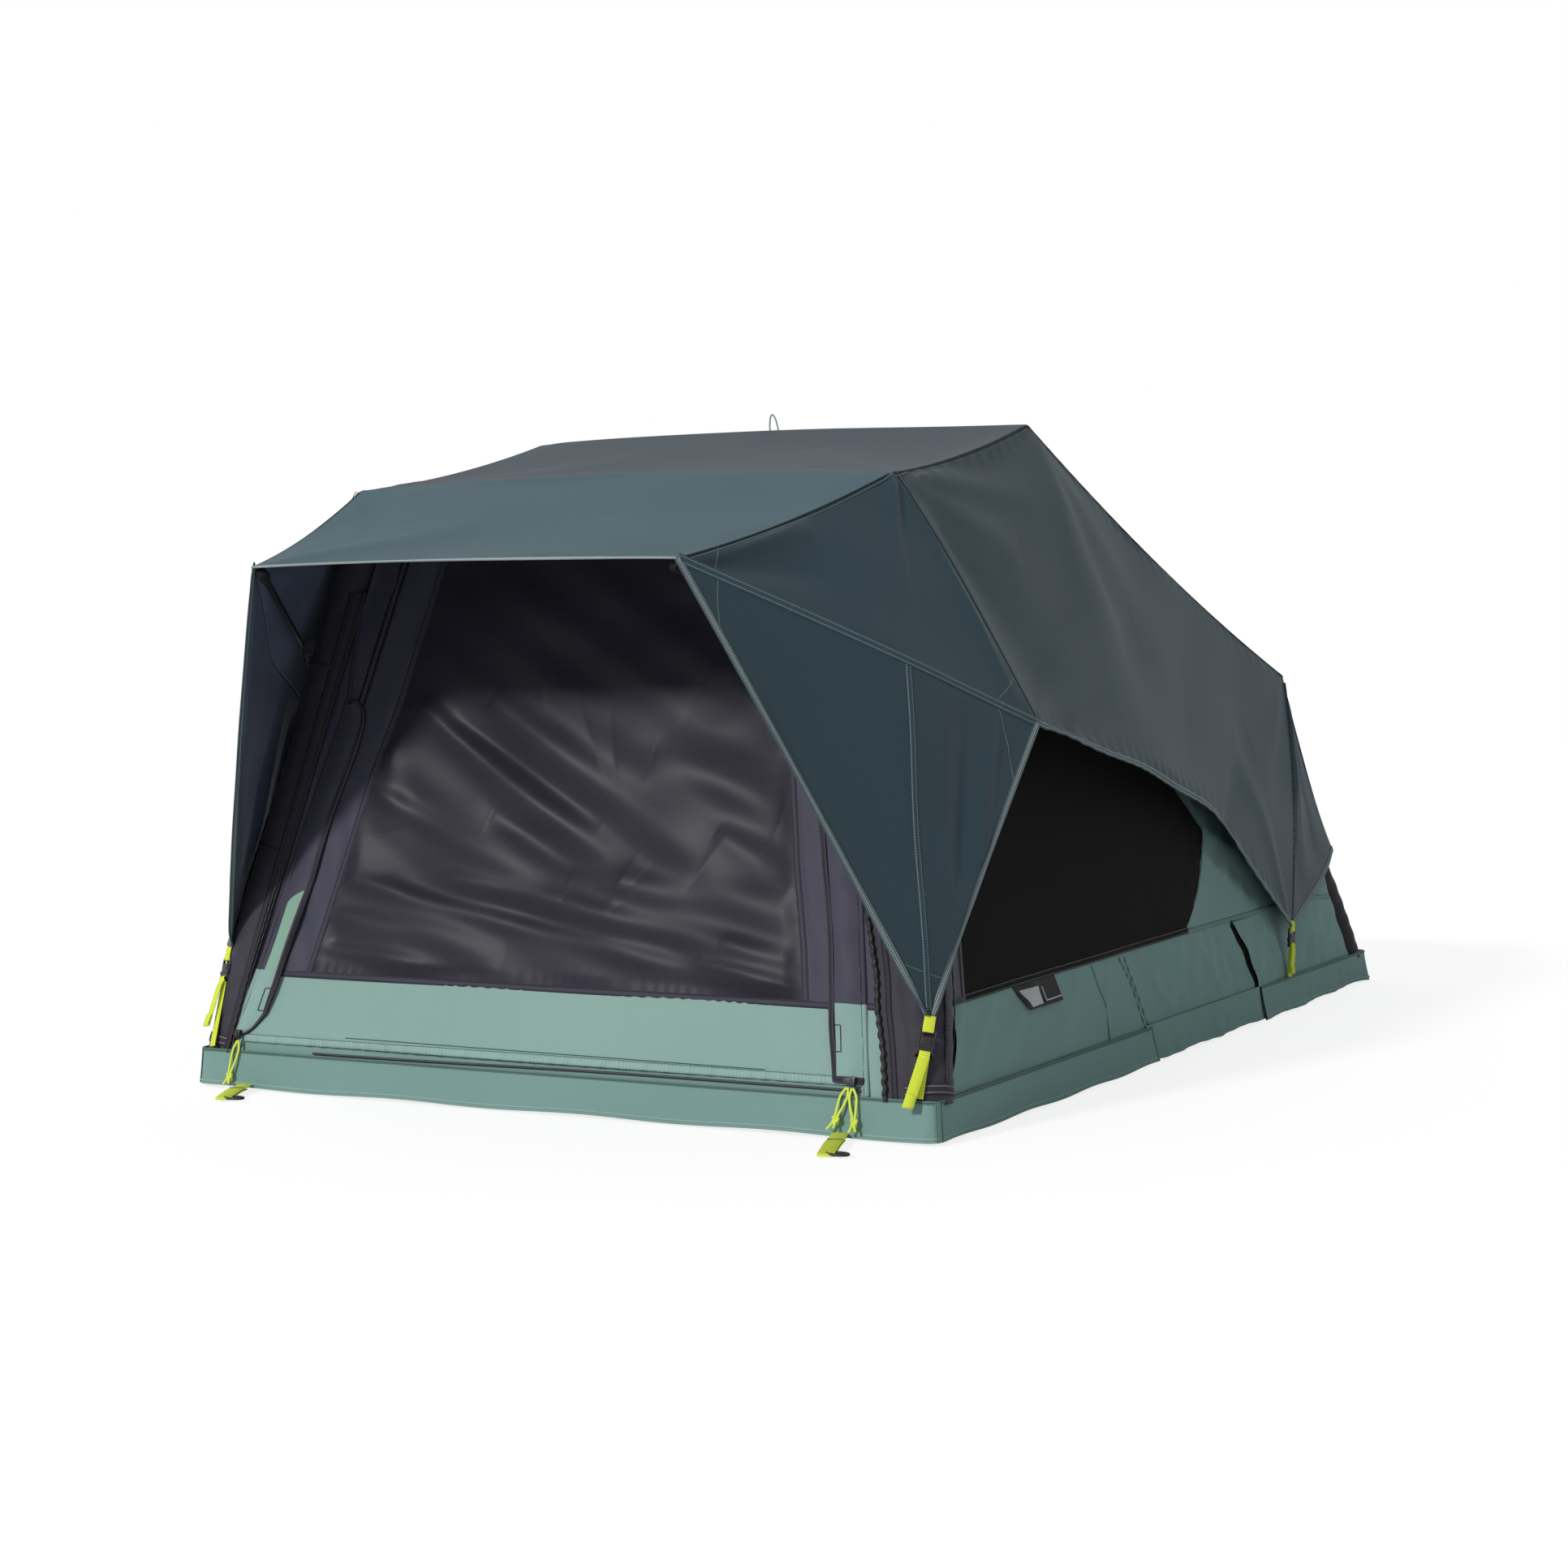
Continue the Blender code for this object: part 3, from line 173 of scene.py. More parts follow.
def rows_of_stitches(tree, u, v, rows):
    """1 on the dashes of thread that run along u at the given values of v, and 0 elsewhere."""
    step = math_node(tree, "FRACT", math_node(tree, "DIVIDE", u, STITCH_STEP))
    dash = math_node(tree, "LESS_THAN", step, STITCH_SHARE)
    total = None
    for row in rows:
        off = math_node(tree, "ABSOLUTE", math_node(tree, "SUBTRACT", v, row))
        near = math_node(tree, "LESS_THAN", off, STITCH_HALF)
        total = near if total is None else math_node(tree, "MAXIMUM", total, near)
    return math_node(tree, "MULTIPLY", total, dash)


def tone_shade(tree, tone, vary):
    """A factor round 1 for the colour, from noise."""
    return add(tree, "MapRange", {"Value": tone, "From Min": 0.3, "From Max": 0.7,
                                  "To Min": 1 - vary, "To Max": 1 + vary}).outputs[0]


def cloth_look(name, colour, roughness, sheen, vary, weave=0.0016, grain=0.35, rip=0.0, rows=(), thread=None,
               rib=0.0, rib_painted_shade=0.22, specular=0.14, painted_sheen=0.0, puckers=0.0):
    """Woven cloth: threads, cloudy colour, fibres, and where asked a ripstop grid, ribs with painted shade,
    painted sheen streaks or stitches.
    """
    made, tree, shader = start_look(name, roughness, 0.0, sheen, specular)
    spot = add(tree, "TexCoord").outputs["Object"]
    flat = add(tree, "UVMap").outputs["UV"]
    parts = add(tree, "SeparateXYZ", {0: flat})
    u, v = parts.outputs[0], parts.outputs[1]
    clouds = add(tree, "TexNoise", {"Vector": spot, "Scale": 3.1, "Detail": 4.0}).outputs["Fac"]
    fibres = add(tree, "TexNoise", {"Vector": spot, "Scale": 380.0, "Detail": 2.0}).outputs["Fac"]
    fine = math_node(tree, "MULTIPLY", fibres, 0.4)
    tone = math_node(tree, "ADD", math_node(tree, "MULTIPLY", clouds, 0.6), fine)
    shade = tone_shade(tree, tone, vary)
    threads = [math_node(tree, "SINE",
                         math_node(tree, "MULTIPLY", axis, 2 * math.pi / weave)) for axis in (u, v)]
    height = math_node(tree, "MULTIPLY", threads[0], threads[1])
    height = math_node(tree, "MULTIPLY", height, 0.00005)
    if rip:
        lines = None
        for axis in (u, v):
            share = math_node(tree, "FRACT", math_node(tree, "DIVIDE", axis, rip))
            line = math_node(tree, "LESS_THAN", share, 0.16)
            lines = line if lines is None else math_node(tree, "MAXIMUM", lines, line)
        shade = math_node(tree, "MULTIPLY", shade, math_node(tree, "MULTIPLY_ADD", lines, 0.14, 0.96))
        height = math_node(tree, "MULTIPLY_ADD", lines, 0.00012, height)
    # painted sheen: lighter and darker streaks in the colour, along stretched slanted noise, stand in for
    # satin highlights; the same noise adds a little bump
    if painted_sheen:
        lean = add(tree, "Mapping", {0: spot, "Rotation": (0, 0.5, 0), "Scale": (3.0, 3.0, 26.0)}).outputs[0]
        shine = add(tree, "TexNoise",
                    {"Vector": lean, "Scale": 1.0, "Detail": 5.0, "Roughness": 0.6}).outputs[0]
        shade = math_node(tree, "MULTIPLY", shade,
                          add(tree, "MapRange", {"Value": shine, "From Min": 0.35, "From Max": 0.72,
                                                 "To Min": 1 - painted_sheen, "To Max": 1 + painted_sheen}).outputs[0])
        height = math_node(tree, "MULTIPLY_ADD", shine, 0.0012, height)
    # painted shade: the colour is lighter on the ribs' crests and darker in their grooves, in step with their
    # bump
    if rib:
        ribs = math_node(tree, "SINE", math_node(tree, "MULTIPLY", u, 2 * math.pi / rib))
        height = math_node(tree, "MULTIPLY_ADD", ribs, 0.00035, height)
        shade = math_node(tree, "MULTIPLY", shade, math_node(tree, "MULTIPLY_ADD", ribs, rib_painted_shade, 1.0))
    if puckers:
        wavy = add(tree, "TexNoise", {"Vector": spot, "Scale": 1 / puckers, "Detail": 2.0}).outputs["Fac"]
        height = math_node(tree, "MULTIPLY_ADD", wavy, 0.0022, height)
    tint = add(tree, "VectorMath", {0: colour, "Scale": shade}, operation="SCALE").outputs[0]
    if rows:
        stitches = rows_of_stitches(tree, u, v, rows)
        tint = add(tree, "Mix", {0: stitches, 6: tint, 7: (*srgb(*thread), 1)}, data_type="RGBA").outputs[2]
        height = math_node(tree, "MULTIPLY_ADD", stitches, 0.0003, height)
    bump = add(tree, "Bump", {"Height": height, "Strength": grain, "Distance": 1.0}).outputs[0]
    tree.links.new(tint, shader.inputs["Base Color"])
    tree.links.new(bump, shader.inputs["Normal"])
    gloss = {"Value": clouds, "To Min": roughness - 0.05, "To Max": roughness + 0.06}
    rough = add(tree, "MapRange", gloss).outputs[0]
    tree.links.new(rough, shader.inputs["Roughness"])
    return made


def hard_look(name, colour, roughness, metallic=0.0, brushed=None, wear=0.1, specular=0.5):
    """Moulded plastic, board or metal, with fine grain, cloudy gloss and, on metal, brush marks."""
    made, tree, shader = start_look(name, roughness, metallic, 0.0, specular)
    spot = add(tree, "TexCoord").outputs["Object"]
    if brushed:
        spot_long = add(tree, "Mapping", {0: spot, "Scale": brushed}).outputs[0]
        marks = add(tree, "TexNoise", {"Vector": spot_long, "Scale": 90.0, "Detail": 3.0}).outputs["Fac"]
    else:
        marks = add(tree, "TexNoise", {"Vector": spot, "Scale": 500.0, "Detail": 2.0}).outputs["Fac"]
    clouds = add(tree, "TexNoise", {"Vector": spot, "Scale": 14.0, "Detail": 4.0}).outputs["Fac"]
    wide = math_node(tree, "MULTIPLY", clouds, 0.5)
    tone = math_node(tree, "ADD", math_node(tree, "MULTIPLY", marks, 0.5), wide)
    shade = tone_shade(tree, tone, wear)
    tint = add(tree, "VectorMath", {0: colour, "Scale": shade}, operation="SCALE").outputs[0]
    tree.links.new(tint, shader.inputs["Base Color"])
    rough = add(tree, "MapRange", {"Value": tone, "From Min": 0.3, "From Max": 0.7,
                                   "To Min": roughness - 0.08, "To Max": roughness + 0.1}).outputs[0]
    tree.links.new(rough, shader.inputs["Roughness"])
    bump = add(tree, "Bump", {"Height": marks, "Strength": 0.12, "Distance": 0.0004}).outputs[0]
    tree.links.new(bump, shader.inputs["Normal"])
    return made


SEAM_ROWS, TAPE_ROWS, WIDE_ROWS = (-0.0034, 0.0034), (-0.0036, 0.0036), (-0.0045, 0.0045)
CLOTHS = {
    "awning": ("fly awning cloth", (68, 90, 99), 0.72, 0.05, 0.06, {}),
    # painted shade: the same flysheet cloth as the awning, made darker to stand in for shade on the roof
    "roof": ("fly roof cloth with painted shade", (61, 71, 79), 0.72, 0.05, 0.06, {}),
    "side": ("fly side cloth", (70, 83, 90), 0.70, 0.05, 0.06, {}),
    # painted shade: the same flysheet cloth as the awning, made darker to stand in for shade on the wings
    "wing": ("fly wing cloth with painted shade", (44, 63, 72), 0.55, 0.05, 0.07, {"specular": 0.18}),
    # painted light: the lining is painted lighter than the flysheet's outer cloth, for sunlight shining
    # through the cloth from outside
    "lining": ("fly lining with painted light through it", (92, 100, 124), 0.7, 0.04, 0.06, {}),
    "dark": ("purple lining cloth", (62, 60, 72), 0.6, 0.04, 0.10, {"puckers": 0.030}),
    "rip": ("purple ripstop cloth", (66, 65, 80), 0.55, 0.05, 0.10, {"rip": 0.0055, "puckers": 0.026}),
    # painted sheen: the satin gets lighter and darker streaks in its colour for its highlights
    "door": ("satin blackout cloth", (41, 39, 49), 0.44, 0.04, 0.12, {"painted_sheen": 0.08, "specular": 0.18}),
    "sleeve": ("beam sleeve cloth", (52, 49, 59), 0.60, 0.05, 0.08, {"specular": 0.2}),
    "beam": ("inner beam sleeve", (48, 46, 52), 0.65, 0.05, 0.08, {}),
    "green": ("green wall cloth", (118, 149, 145), 0.8, 0.04, 0.06, {"puckers": 0.045}),
    "mint": ("mint foot cloth", (133, 163, 156), 0.72, 0.04, 0.05, {"puckers": 0.060}),
    "flap_mint": ("mint stripe", (128, 162, 146), 0.6, 0.03, 0.04, {}),
    "window": ("blackout window cloth", (16, 16, 17), 0.9, 0.02, 0.10, {"specular": 0.06}),
    "pocket": ("black pocket cloth", (24, 24, 27), 0.7, 0.03, 0.08, {}),
    "pale_tape": ("pale hem tape", (128, 141, 142), 0.6, 0.03, 0.05,
                  {"weave": 0.0024, "rows": SEAM_ROWS, "thread": (190, 198, 196)}),
    "lip_tape": ("wing hem tape", (66, 82, 88), 0.6, 0.03, 0.05,
                 {"weave": 0.0024, "rows": SEAM_ROWS, "thread": (146, 156, 156)}),
    "fly_tape": ("fly seam tape", (53, 74, 83), 0.65, 0.03, 0.05,
                 {"rows": (-0.0040, 0.0040), "thread": (128, 138, 140)}),
    "fly_line": ("fly folded seam", (30, 38, 42), 0.8, 0.02, 0.05, {}),
    "fly_stitch": ("pale stitches", (92, 104, 108), 0.7, 0.02, 0.05, {"rib": 0.0044}),
    "crease": ("fly gathered seam", (50, 62, 68), 0.7, 0.03, 0.05, {"rib": 0.011}),
    "dark_tape": ("dark binding", (44, 41, 49), 0.6, 0.05, 0.06,
                  {"weave": 0.0024, "rows": TAPE_ROWS, "thread": (84, 80, 90)}),
    "rip_seam": ("purple double seam", (60, 58, 70), 0.6, 0.04, 0.06,
                 {"rows": SEAM_ROWS, "thread": (24, 24, 30)}),
    "mint_seam": ("mint double seam", (128, 158, 151), 0.7, 0.04, 0.05,
                  {"rows": SEAM_ROWS, "thread": (66, 86, 82)}),
    "pale_patch": ("bare woven patch", (186, 188, 188), 0.7, 0.02, 0.04, {}),
    "dark_seam": ("dark double seam", (46, 43, 53), 0.6, 0.05, 0.06,
                  {"rows": TAPE_ROWS, "thread": (18, 18, 22)}),
    "sleeve_hem": ("sleeve hem", (50, 46, 54), 0.6, 0.05, 0.06,
                   {"rows": WIDE_ROWS, "thread": (140, 136, 142)}),
    "sleeve_zip": ("sleeve zip cover", (34, 32, 37), 0.5, 0.0, 0.08, {"rib": 0.0070, "specular": 0.3}),
    "green_seam": ("green seam", (92, 118, 112), 0.75, 0.03, 0.05, {"rows": (0.0,), "thread": (48, 64, 62)}),
    "green_double": ("green double seam", (104, 131, 125), 0.75, 0.03, 0.05,
                     {"rows": WIDE_ROWS, "thread": (46, 62, 58), "puckers": 0.012}),
    "door_hem": ("piped door hem", (138, 168, 160), 0.6, 0.03, 0.05,
                 {"rib": 0.0060, "rib_painted_shade": 0.07, "rows": (0.0055,), "thread": (80, 104, 98)}),
    "window_tape": ("window binding", (14, 14, 15), 0.8, 0.02, 0.05,
                    {"rows": (-0.0040, 0.0040), "thread": (104, 108, 106), "specular": 0.06}),
    "zip": ("zip tape and teeth", (30, 30, 34), 0.45, 0.0, 0.05, {"rib": 0.0030, "specular": 0.4}),
    "webbing": ("lime webbing", (218, 232, 74), 0.7, 0.03, 0.05,
                {"weave": 0.0030, "grain": 0.9, "rib": 0.0024}),
    "cord": ("lime cord", (214, 230, 96), 0.65, 0.03, 0.06, {"weave": 0.0022, "grain": 0.9}),
    "binding": ("grey cord", (150, 158, 160), 0.65, 0.03, 0.06, {"weave": 0.0020, "grain": 0.8}),
    "mattress": ("mattress cover", (98, 101, 106), 0.85, 0.1, 0.06,
                 {"weave": 0.0030, "grain": 0.8, "rip": 0.04}),
}
HARD = {
    "board": ("coated floor board", (112, 114, 116), 0.55, {}),
    "aluminium": ("brushed aluminium", (196, 198, 200), 0.36,
                  {"metallic": 0.9, "brushed": (1.0, 60.0, 60.0), "wear": 0.06}),
    "rail": ("drawn aluminium rail", (190, 192, 194), 0.34,
             {"metallic": 0.9, "brushed": (60.0, 1.0, 60.0), "wear": 0.06}),
    "steel": ("zinc-plated steel", (178, 180, 183), 0.34, {"metallic": 1.0, "brushed": (20.0, 2.0, 20.0)}),
    "slider": ("dark zip slider", (44, 44, 48), 0.35, {"metallic": 0.6}),
    "rod": ("coated fibre rod", (34, 34, 38), 0.38, {"specular": 0.3}),
    "plastic": ("black moulded plastic", (24, 24, 27), 0.42, {"wear": 0.15, "specular": 0.4}),
}
LOOKS = {}
for look, (name, colour, roughness, sheen, vary, more) in CLOTHS.items():
    LOOKS[look] = cloth_look(name, srgb(*colour), roughness, sheen, vary, **more)
for look, (name, colour, roughness, more) in HARD.items():
    LOOKS[look] = hard_look(name, srgb(*colour), roughness, **more)

# Curves and cloth


def even(points, count):
    """The same line with count points at even distances."""
    points = np.asarray(points, float)
    steps = np.linalg.norm(np.diff(points, axis=0), axis=1)
    run = np.concatenate(([0], np.cumsum(steps)))
    marks = np.linspace(0, run[-1], count)
    return np.stack([np.interp(marks, run, points[:, k]) for k in range(points.shape[1])], -1)


def spline(points, count=81):
    """A smooth line through the points."""
    p = np.asarray(points, float)
    p = np.concatenate(([2 * p[0] - p[1]], p, [2 * p[-1] - p[-2]]))
    out = []
    t = np.linspace(0, 1, 24, endpoint=False)[:, None]
    for a, b, c, d in zip(p, p[1:], p[2:], p[3:]):
        out.append(0.5 * (2 * b + (c - a) * t + (2 * a - 5 * b + 4 * c - d) * t ** 2
                          + (3 * b - a - 3 * c + d) * t ** 3))
    out.append(p[-2][None])
    return even(np.concatenate(out), count)


def chain(points, sags=None, count=81):
    """Straight pieces between points, each with its middle pulled aside by a sag."""
    points = [np.asarray(p, float) for p in points]
    t = np.linspace(0, 1, 25)[:, None]
    out = [points[0][None]]
    for i, (a, b) in enumerate(zip(points, points[1:])):
        piece = a + (b - a) * t
        if sags is not None and sags[i] is not None:
            piece = piece + np.asarray(sags[i], float) * 4 * t * (1 - t)
        out.append(piece[1:])
    return even(np.concatenate(out), count)


def read(path, t):
    """Points of a line at t from 0 to 1."""
    marks = np.linspace(0, 1, len(path))
    return np.stack([np.interp(t, marks, path[:, k]) for k in range(path.shape[1])], -1)


def coons(top, bottom, left, right):
    """A surface between four lines: top and bottom run with u, left and right run down with v."""
    a, b, c, d = top[0], top[-1], bottom[0], bottom[-1]

    def place(u, v):
        s, t = u[..., None], v[..., None]
        across = read(top, u) * (1 - t) + read(bottom, u) * t
        down = read(left, v) * (1 - s) + read(right, v) * s
        flat = (a * (1 - s) + b * s) * (1 - t) + (c * (1 - s) + d * s) * t
        return across + down - flat
    return place


RIPPLE_WAVES = 7


def ripple(p, size, seed, stretch=(1, 1, 1)):
    """Smooth waves of about that length in all directions, of about unit height."""
    rng = np.random.default_rng(seed)
    p = p * np.asarray(stretch, float)
    total = np.zeros(p.shape[:-1])
    for _ in range(RIPPLE_WAVES):
        d = rng.normal(size=3)
        d /= np.linalg.norm(d)
        total += np.sin(2 * math.pi * (p @ d) / (size * rng.uniform(0.7, 1.4)) + rng.uniform(0, 2 * math.pi))
    return total / math.sqrt(RIPPLE_WAVES / 2)


def smoothstep(x, low, high):
    t = np.clip((x - low) / (high - low), 0, 1)
    return t * t * (3 - 2 * t)


def fold_height(p, folds):
    """Height of soft ridges (or valleys), each from a start to an end point, with its two widths."""
    total = np.zeros(p.shape[:-1])
    for start, end, width0, width1, height in folds:
        a = np.asarray(start, float)
        along = np.asarray(end, float) - a
        t = np.clip(((p - a) @ along) / (along @ along), 0, 1)
        off = ((p - a - t[..., None] * along) ** 2).sum(-1)
        width = width0 + (width1 - width0) * t
        total += height * np.exp(-off / width ** 2) * (4 * t * (1 - t) + 0.02) ** 0.5
    return total


class Cloth:
    """A surface over u and v from 0 to 1 with its folds and billows, which faces away from INSIDE."""

    def __init__(self, base, folds=(), billow=0.0, size=0.4, seed=1, margin=0.06, extra=None, toward=None):
        self.base, self.folds, self.billow, self.size, self.seed = base, folds, billow, size, seed
        self.margin, self.extra = margin, extra
        self.sign = 1
        half = np.array([0.5])
        out = (base(half, half)[0] - INSIDE) if toward is None else np.asarray(toward, float)
        if self.base_normal(half, half)[0] @ out < 0:
            self.sign = -1

    def slope(self, place, u, v):
        e = 0.004
        u, v = np.clip(u, 0.012, 0.988), np.clip(v, 0.012, 0.988)
        n = np.cross(place(u + e, v) - place(u - e, v), place(u, v + e) - place(u, v - e))
        return self.sign * n / np.maximum(np.linalg.norm(n, axis=-1, keepdims=True), 1e-12)

    def base_normal(self, u, v):
        return self.slope(self.base, u, v)

    def place(self, u, v):
        p = self.base(u, v)
        rim = np.minimum(np.minimum(u, 1 - u), np.minimum(v, 1 - v))
        mask = smoothstep(rim, 0, self.margin) if self.margin else 1.0
        height = fold_height(p, self.folds) if self.folds else np.zeros(p.shape[:-1])
        if self.billow:
            height = height + self.billow * ripple(p, self.size, self.seed)
        height = height * mask
        if self.extra:
            height = height + self.extra(u, v, p)
        return p + self.base_normal(u, v) * height[..., None]

    def normal(self, u, v):
        return self.slope(self.place, u, v)

    def line(self, corners, count=81):
        """Places and normals along a line through (u, v) corners."""
        uv = chain([(a, b, 0) for a, b in corners], None, count)
        return self.place(uv[:, 0], uv[:, 1]), self.normal(uv[:, 0], uv[:, 1])


def lengths(grid, axis):
    steps = np.linalg.norm(np.diff(grid, axis=axis), axis=-1)
    run = np.cumsum(steps, axis=axis)
    shape = list(run.shape)
    shape[axis] = 1
    return np.concatenate((np.zeros(shape), run), axis=axis)


def new_mesh(name, points, faces, uvs, looks, slots=None, merge=False):
    mesh = bpy.data.meshes.new(name)
    mesh.from_pydata(points.tolist(), [], faces)
    layer = mesh.uv_layers.new(name="UVMap")
    corner = np.empty(len(mesh.loops), np.int32)
    mesh.loops.foreach_get("vertex_index", corner)
    layer.data.foreach_set("uv", np.asarray(uvs, np.float32)[corner].ravel())
    for look in looks:
        mesh.materials.append(LOOKS[look])
    if slots is not None:
        mesh.polygons.foreach_set("material_index", slots)
    if merge:
        bm = bmesh.new()
        bm.from_mesh(mesh)
        bmesh.ops.remove_doubles(bm, verts=bm.verts, dist=1e-5)
        bm.to_mesh(mesh)
        bm.free()
    mesh.shade_smooth()
    made = bpy.data.objects.new(name, mesh)
    bpy.context.scene.collection.objects.link(made)
    return made


def grid_faces(n, m, offset, flip, wrap=False):
    i, j = np.meshgrid(np.arange(n - 1), np.arange(m if wrap else m - 1), indexing="ij")
    a = offset + i * m + j
    b = offset + (i + 1) * m + j
    c = offset + (i + 1) * m + (j + 1) % m
    d = offset + i * m + (j + 1) % m
    quads = np.stack((a, b, c, d), -1).reshape(-1, 4)
    return quads[:, ::-1] if flip else quads


def sew(name, cloth, counts, looks, thick=0.0012, remap=None, merge=False):
    """A closed thin sheet from a Cloth: outer look, inner look."""
    n, m = counts
    u, v = np.meshgrid(np.linspace(0, 1, n), np.linspace(0, 1, m), indexing="ij")
    if remap:
        u, v = remap(u, v)
    outer = cloth.place(u, v)
    normal = cloth.normal(u, v)
    inner = outer - normal * thick
    uv = np.stack((lengths(outer, 0), lengths(outer, 1)), -1).reshape(-1, 2)
    count = n * m
    flip = cloth.sign < 0
    top = grid_faces(n, m, 0, flip)
    under = grid_faces(n, m, count, not flip)
    edge = ([i * m for i in range(n)] + [(n - 1) * m + j for j in range(1, m)]
            + [i * m + m - 1 for i in range(n - 2, -1, -1)] + list(range(m - 2, 0, -1)))
    edge = np.array(edge)
    after = np.roll(edge, -1)
    rim = np.stack((edge, edge + count, after + count, after), -1)
    if flip:
        rim = rim[:, ::-1]
    faces = np.concatenate((top, under, rim)).tolist()
    hidden = np.full(len(under) + len(rim), len(looks) - 1, np.int32)
    slots = np.concatenate((np.zeros(len(top), np.int32), hidden))
    points = np.concatenate((outer.reshape(-1, 3), inner.reshape(-1, 3)))
    made = new_mesh(name, points, faces, np.concatenate((uv, uv)), looks, slots, merge)
    if not merge:
        both = np.concatenate((normal.reshape(-1, 3), -normal.reshape(-1, 3)))
        made.data.normals_split_custom_set_from_vertices(both.tolist())
    made["flat"] = [float(lengths(outer, 0)[-1].max()), float(lengths(outer, 1)[:, -1].max())]
    return made


def strip(name, path, normals, width, look, shift=0.0, lift=0.0004, rise=0.0006, wrap=0.0, wave=0.0,
          start=0.0):
    """Tape along a line on cloth, or with wrap a binding folded round the cloth's edge."""
    path, normals = np.asarray(path, float), np.asarray(normals, float)
    along = np.gradient(path, axis=0)
    along /= np.maximum(np.linalg.norm(along, axis=1, keepdims=True), 1e-12)
    normals = normals - along * (normals * along).sum(1, keepdims=True)
    normals /= np.linalg.norm(normals, axis=1, keepdims=True)
    across = np.cross(normals, along)
    if wrap:
        section = [(-0.5, -0.1), (-0.42, 0.75), (-0.15, 1.0), (0.15, 1.0), (0.42, 0.75), (0.5, -0.1),
                   (0.42, -1.0), (0.0, -1.2), (-0.42, -1.0)]
        section = [(a * width + shift, (b * wrap / 2)) for a, b in section]
    else:
        section = [(-0.5, -1.0), (-0.47, 0.75), (-0.2, 1.0), (0.2, 1.0), (0.47, 0.75), (0.5, -1.0)]
        section = [(a * width + shift, lift + b * rise) for a, b in section]
    run = lengths(path[:, None], 0)[:, 0]
    extra = wave * np.sin(run * 2 * math.pi / 0.021 + 2 * np.sin(run * 23)) if wave else 0 * run
    count = len(section)
    points, uvs = [], []
    for a, b in section:
        points.append(path + across * a + normals * (b + extra)[:, None])
        uvs.append(np.stack((run + start, np.full(len(run), a - shift)), -1))
    points = np.stack(points, 1).reshape(-1, 3)
    uvs = np.stack(uvs, 1).reshape(-1, 2)
    faces = grid_faces(len(path), count, 0, True, bool(wrap)).tolist()
    if wrap:
        last = (len(path) - 1) * count
        faces.append(list(range(count))[::-1])
        faces.append([last + k for k in range(count)])
    return new_mesh(name, points, faces, uvs, [look])


def tube(name, path, radius, look, sides=10, flat_z=None, swell=None):
    """A round tube; radius is a number or a function of distance and turn, and swell adds to it by place."""
    path = np.asarray(path, float)
    along = np.gradient(path, axis=0)
    along /= np.linalg.norm(along, axis=1, keepdims=True)
    across = np.zeros_like(along)
    a = np.cross(along[0], (0.3, 0.9, 0.2))
    for i, t in enumerate(along):
        a = a - t * (a @ t)
        a /= np.linalg.norm(a)
        across[i] = a
    other = np.cross(along, across)
    run = lengths(path[:, None], 0)[:, 0]
    turn = np.linspace(0, 2 * math.pi, sides, endpoint=False)
    r = radius(run[:, None], turn[None]) if callable(radius) else np.full((len(path), sides), radius)
    spokes = across[:, None] * np.cos(turn)[None, :, None] + other[:, None] * np.sin(turn)[None, :, None]
    if swell:
        r = r + swell(np.broadcast_to(path[:, None], spokes.shape), spokes)
    points = path[:, None] + spokes * r[..., None]
    if flat_z is not None:
        points[..., 2] = np.maximum(points[..., 2], flat_z)
    mean = float(np.mean(r))
    uv = np.stack(np.broadcast_arrays(run[:, None], turn[None] * mean), -1).reshape(-1, 2)
    faces = grid_faces(len(path), sides, 0, False, True).tolist()
    last = (len(path) - 1) * sides
    faces.append(list(range(sides)))
    faces.append([last + k for k in range(sides)][::-1])
    return new_mesh(name, points.reshape(-1, 3), faces, uv, [look])


def dress(made, leaf, flat=True, body=None):
    """Rides on a leaf's base, or on the given body, and with flat gets its own copy of its mesh."""
    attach(made, body or PLACE[leaf])
    if flat:
        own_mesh(made)
    return made


def declare(made):
    """Works out the size that a piece of cloth has when smoothed out, from its area and its stored flat
    lengths; nothing further is done with it.
    """
    area = sum(p.area for p in made.data.polygons) / 2
    width, length = made["flat"]
    width, length = max(width, area / length), length


def parted(path, normals):
    """The stretches of a line on each leaf, cut at the fold."""
    limit = FOLD_Y + NEAR_Y
    y = path[:, 1]
    out = []
    for leaf, keep in (("near", y <= limit), ("far", y > limit)):
        marks = np.flatnonzero(keep)
        if len(marks) < 2:
            continue
        p, n = path[marks], normals[marks]
        start = float(lengths(path[:, None], 0)[marks[0], 0])
        for end, beyond in ((0, marks[0] - 1), (-1, marks[-1] + 1)):
            if 0 <= beyond < len(path):
                a, b = (p[0], path[beyond]) if end == 0 else (p[-1], path[beyond])
                share = (limit - a[1]) / (b[1] - a[1])
                q = a + (b - a) * share
                p = np.concatenate((q[None], p)) if end == 0 else np.concatenate((p, q[None]))
                n = np.concatenate((n[:1], n)) if end == 0 else np.concatenate((n, n[-1:]))
        out.append((leaf, p, n, start))
    return out


def taped(name, line, width, look, flat=True, slot="fly", **how):
    """Tape on a line, in one piece for each leaf that it crosses."""
    made = []
    pieces = parted(*line)
    for leaf, p, n, start in pieces:
        tag = name if len(pieces) == 1 else f"{name}_{leaf}"
        made.append(dress(strip(tag, p, n, width, look, start=start, **how), leaf, flat))
    return made


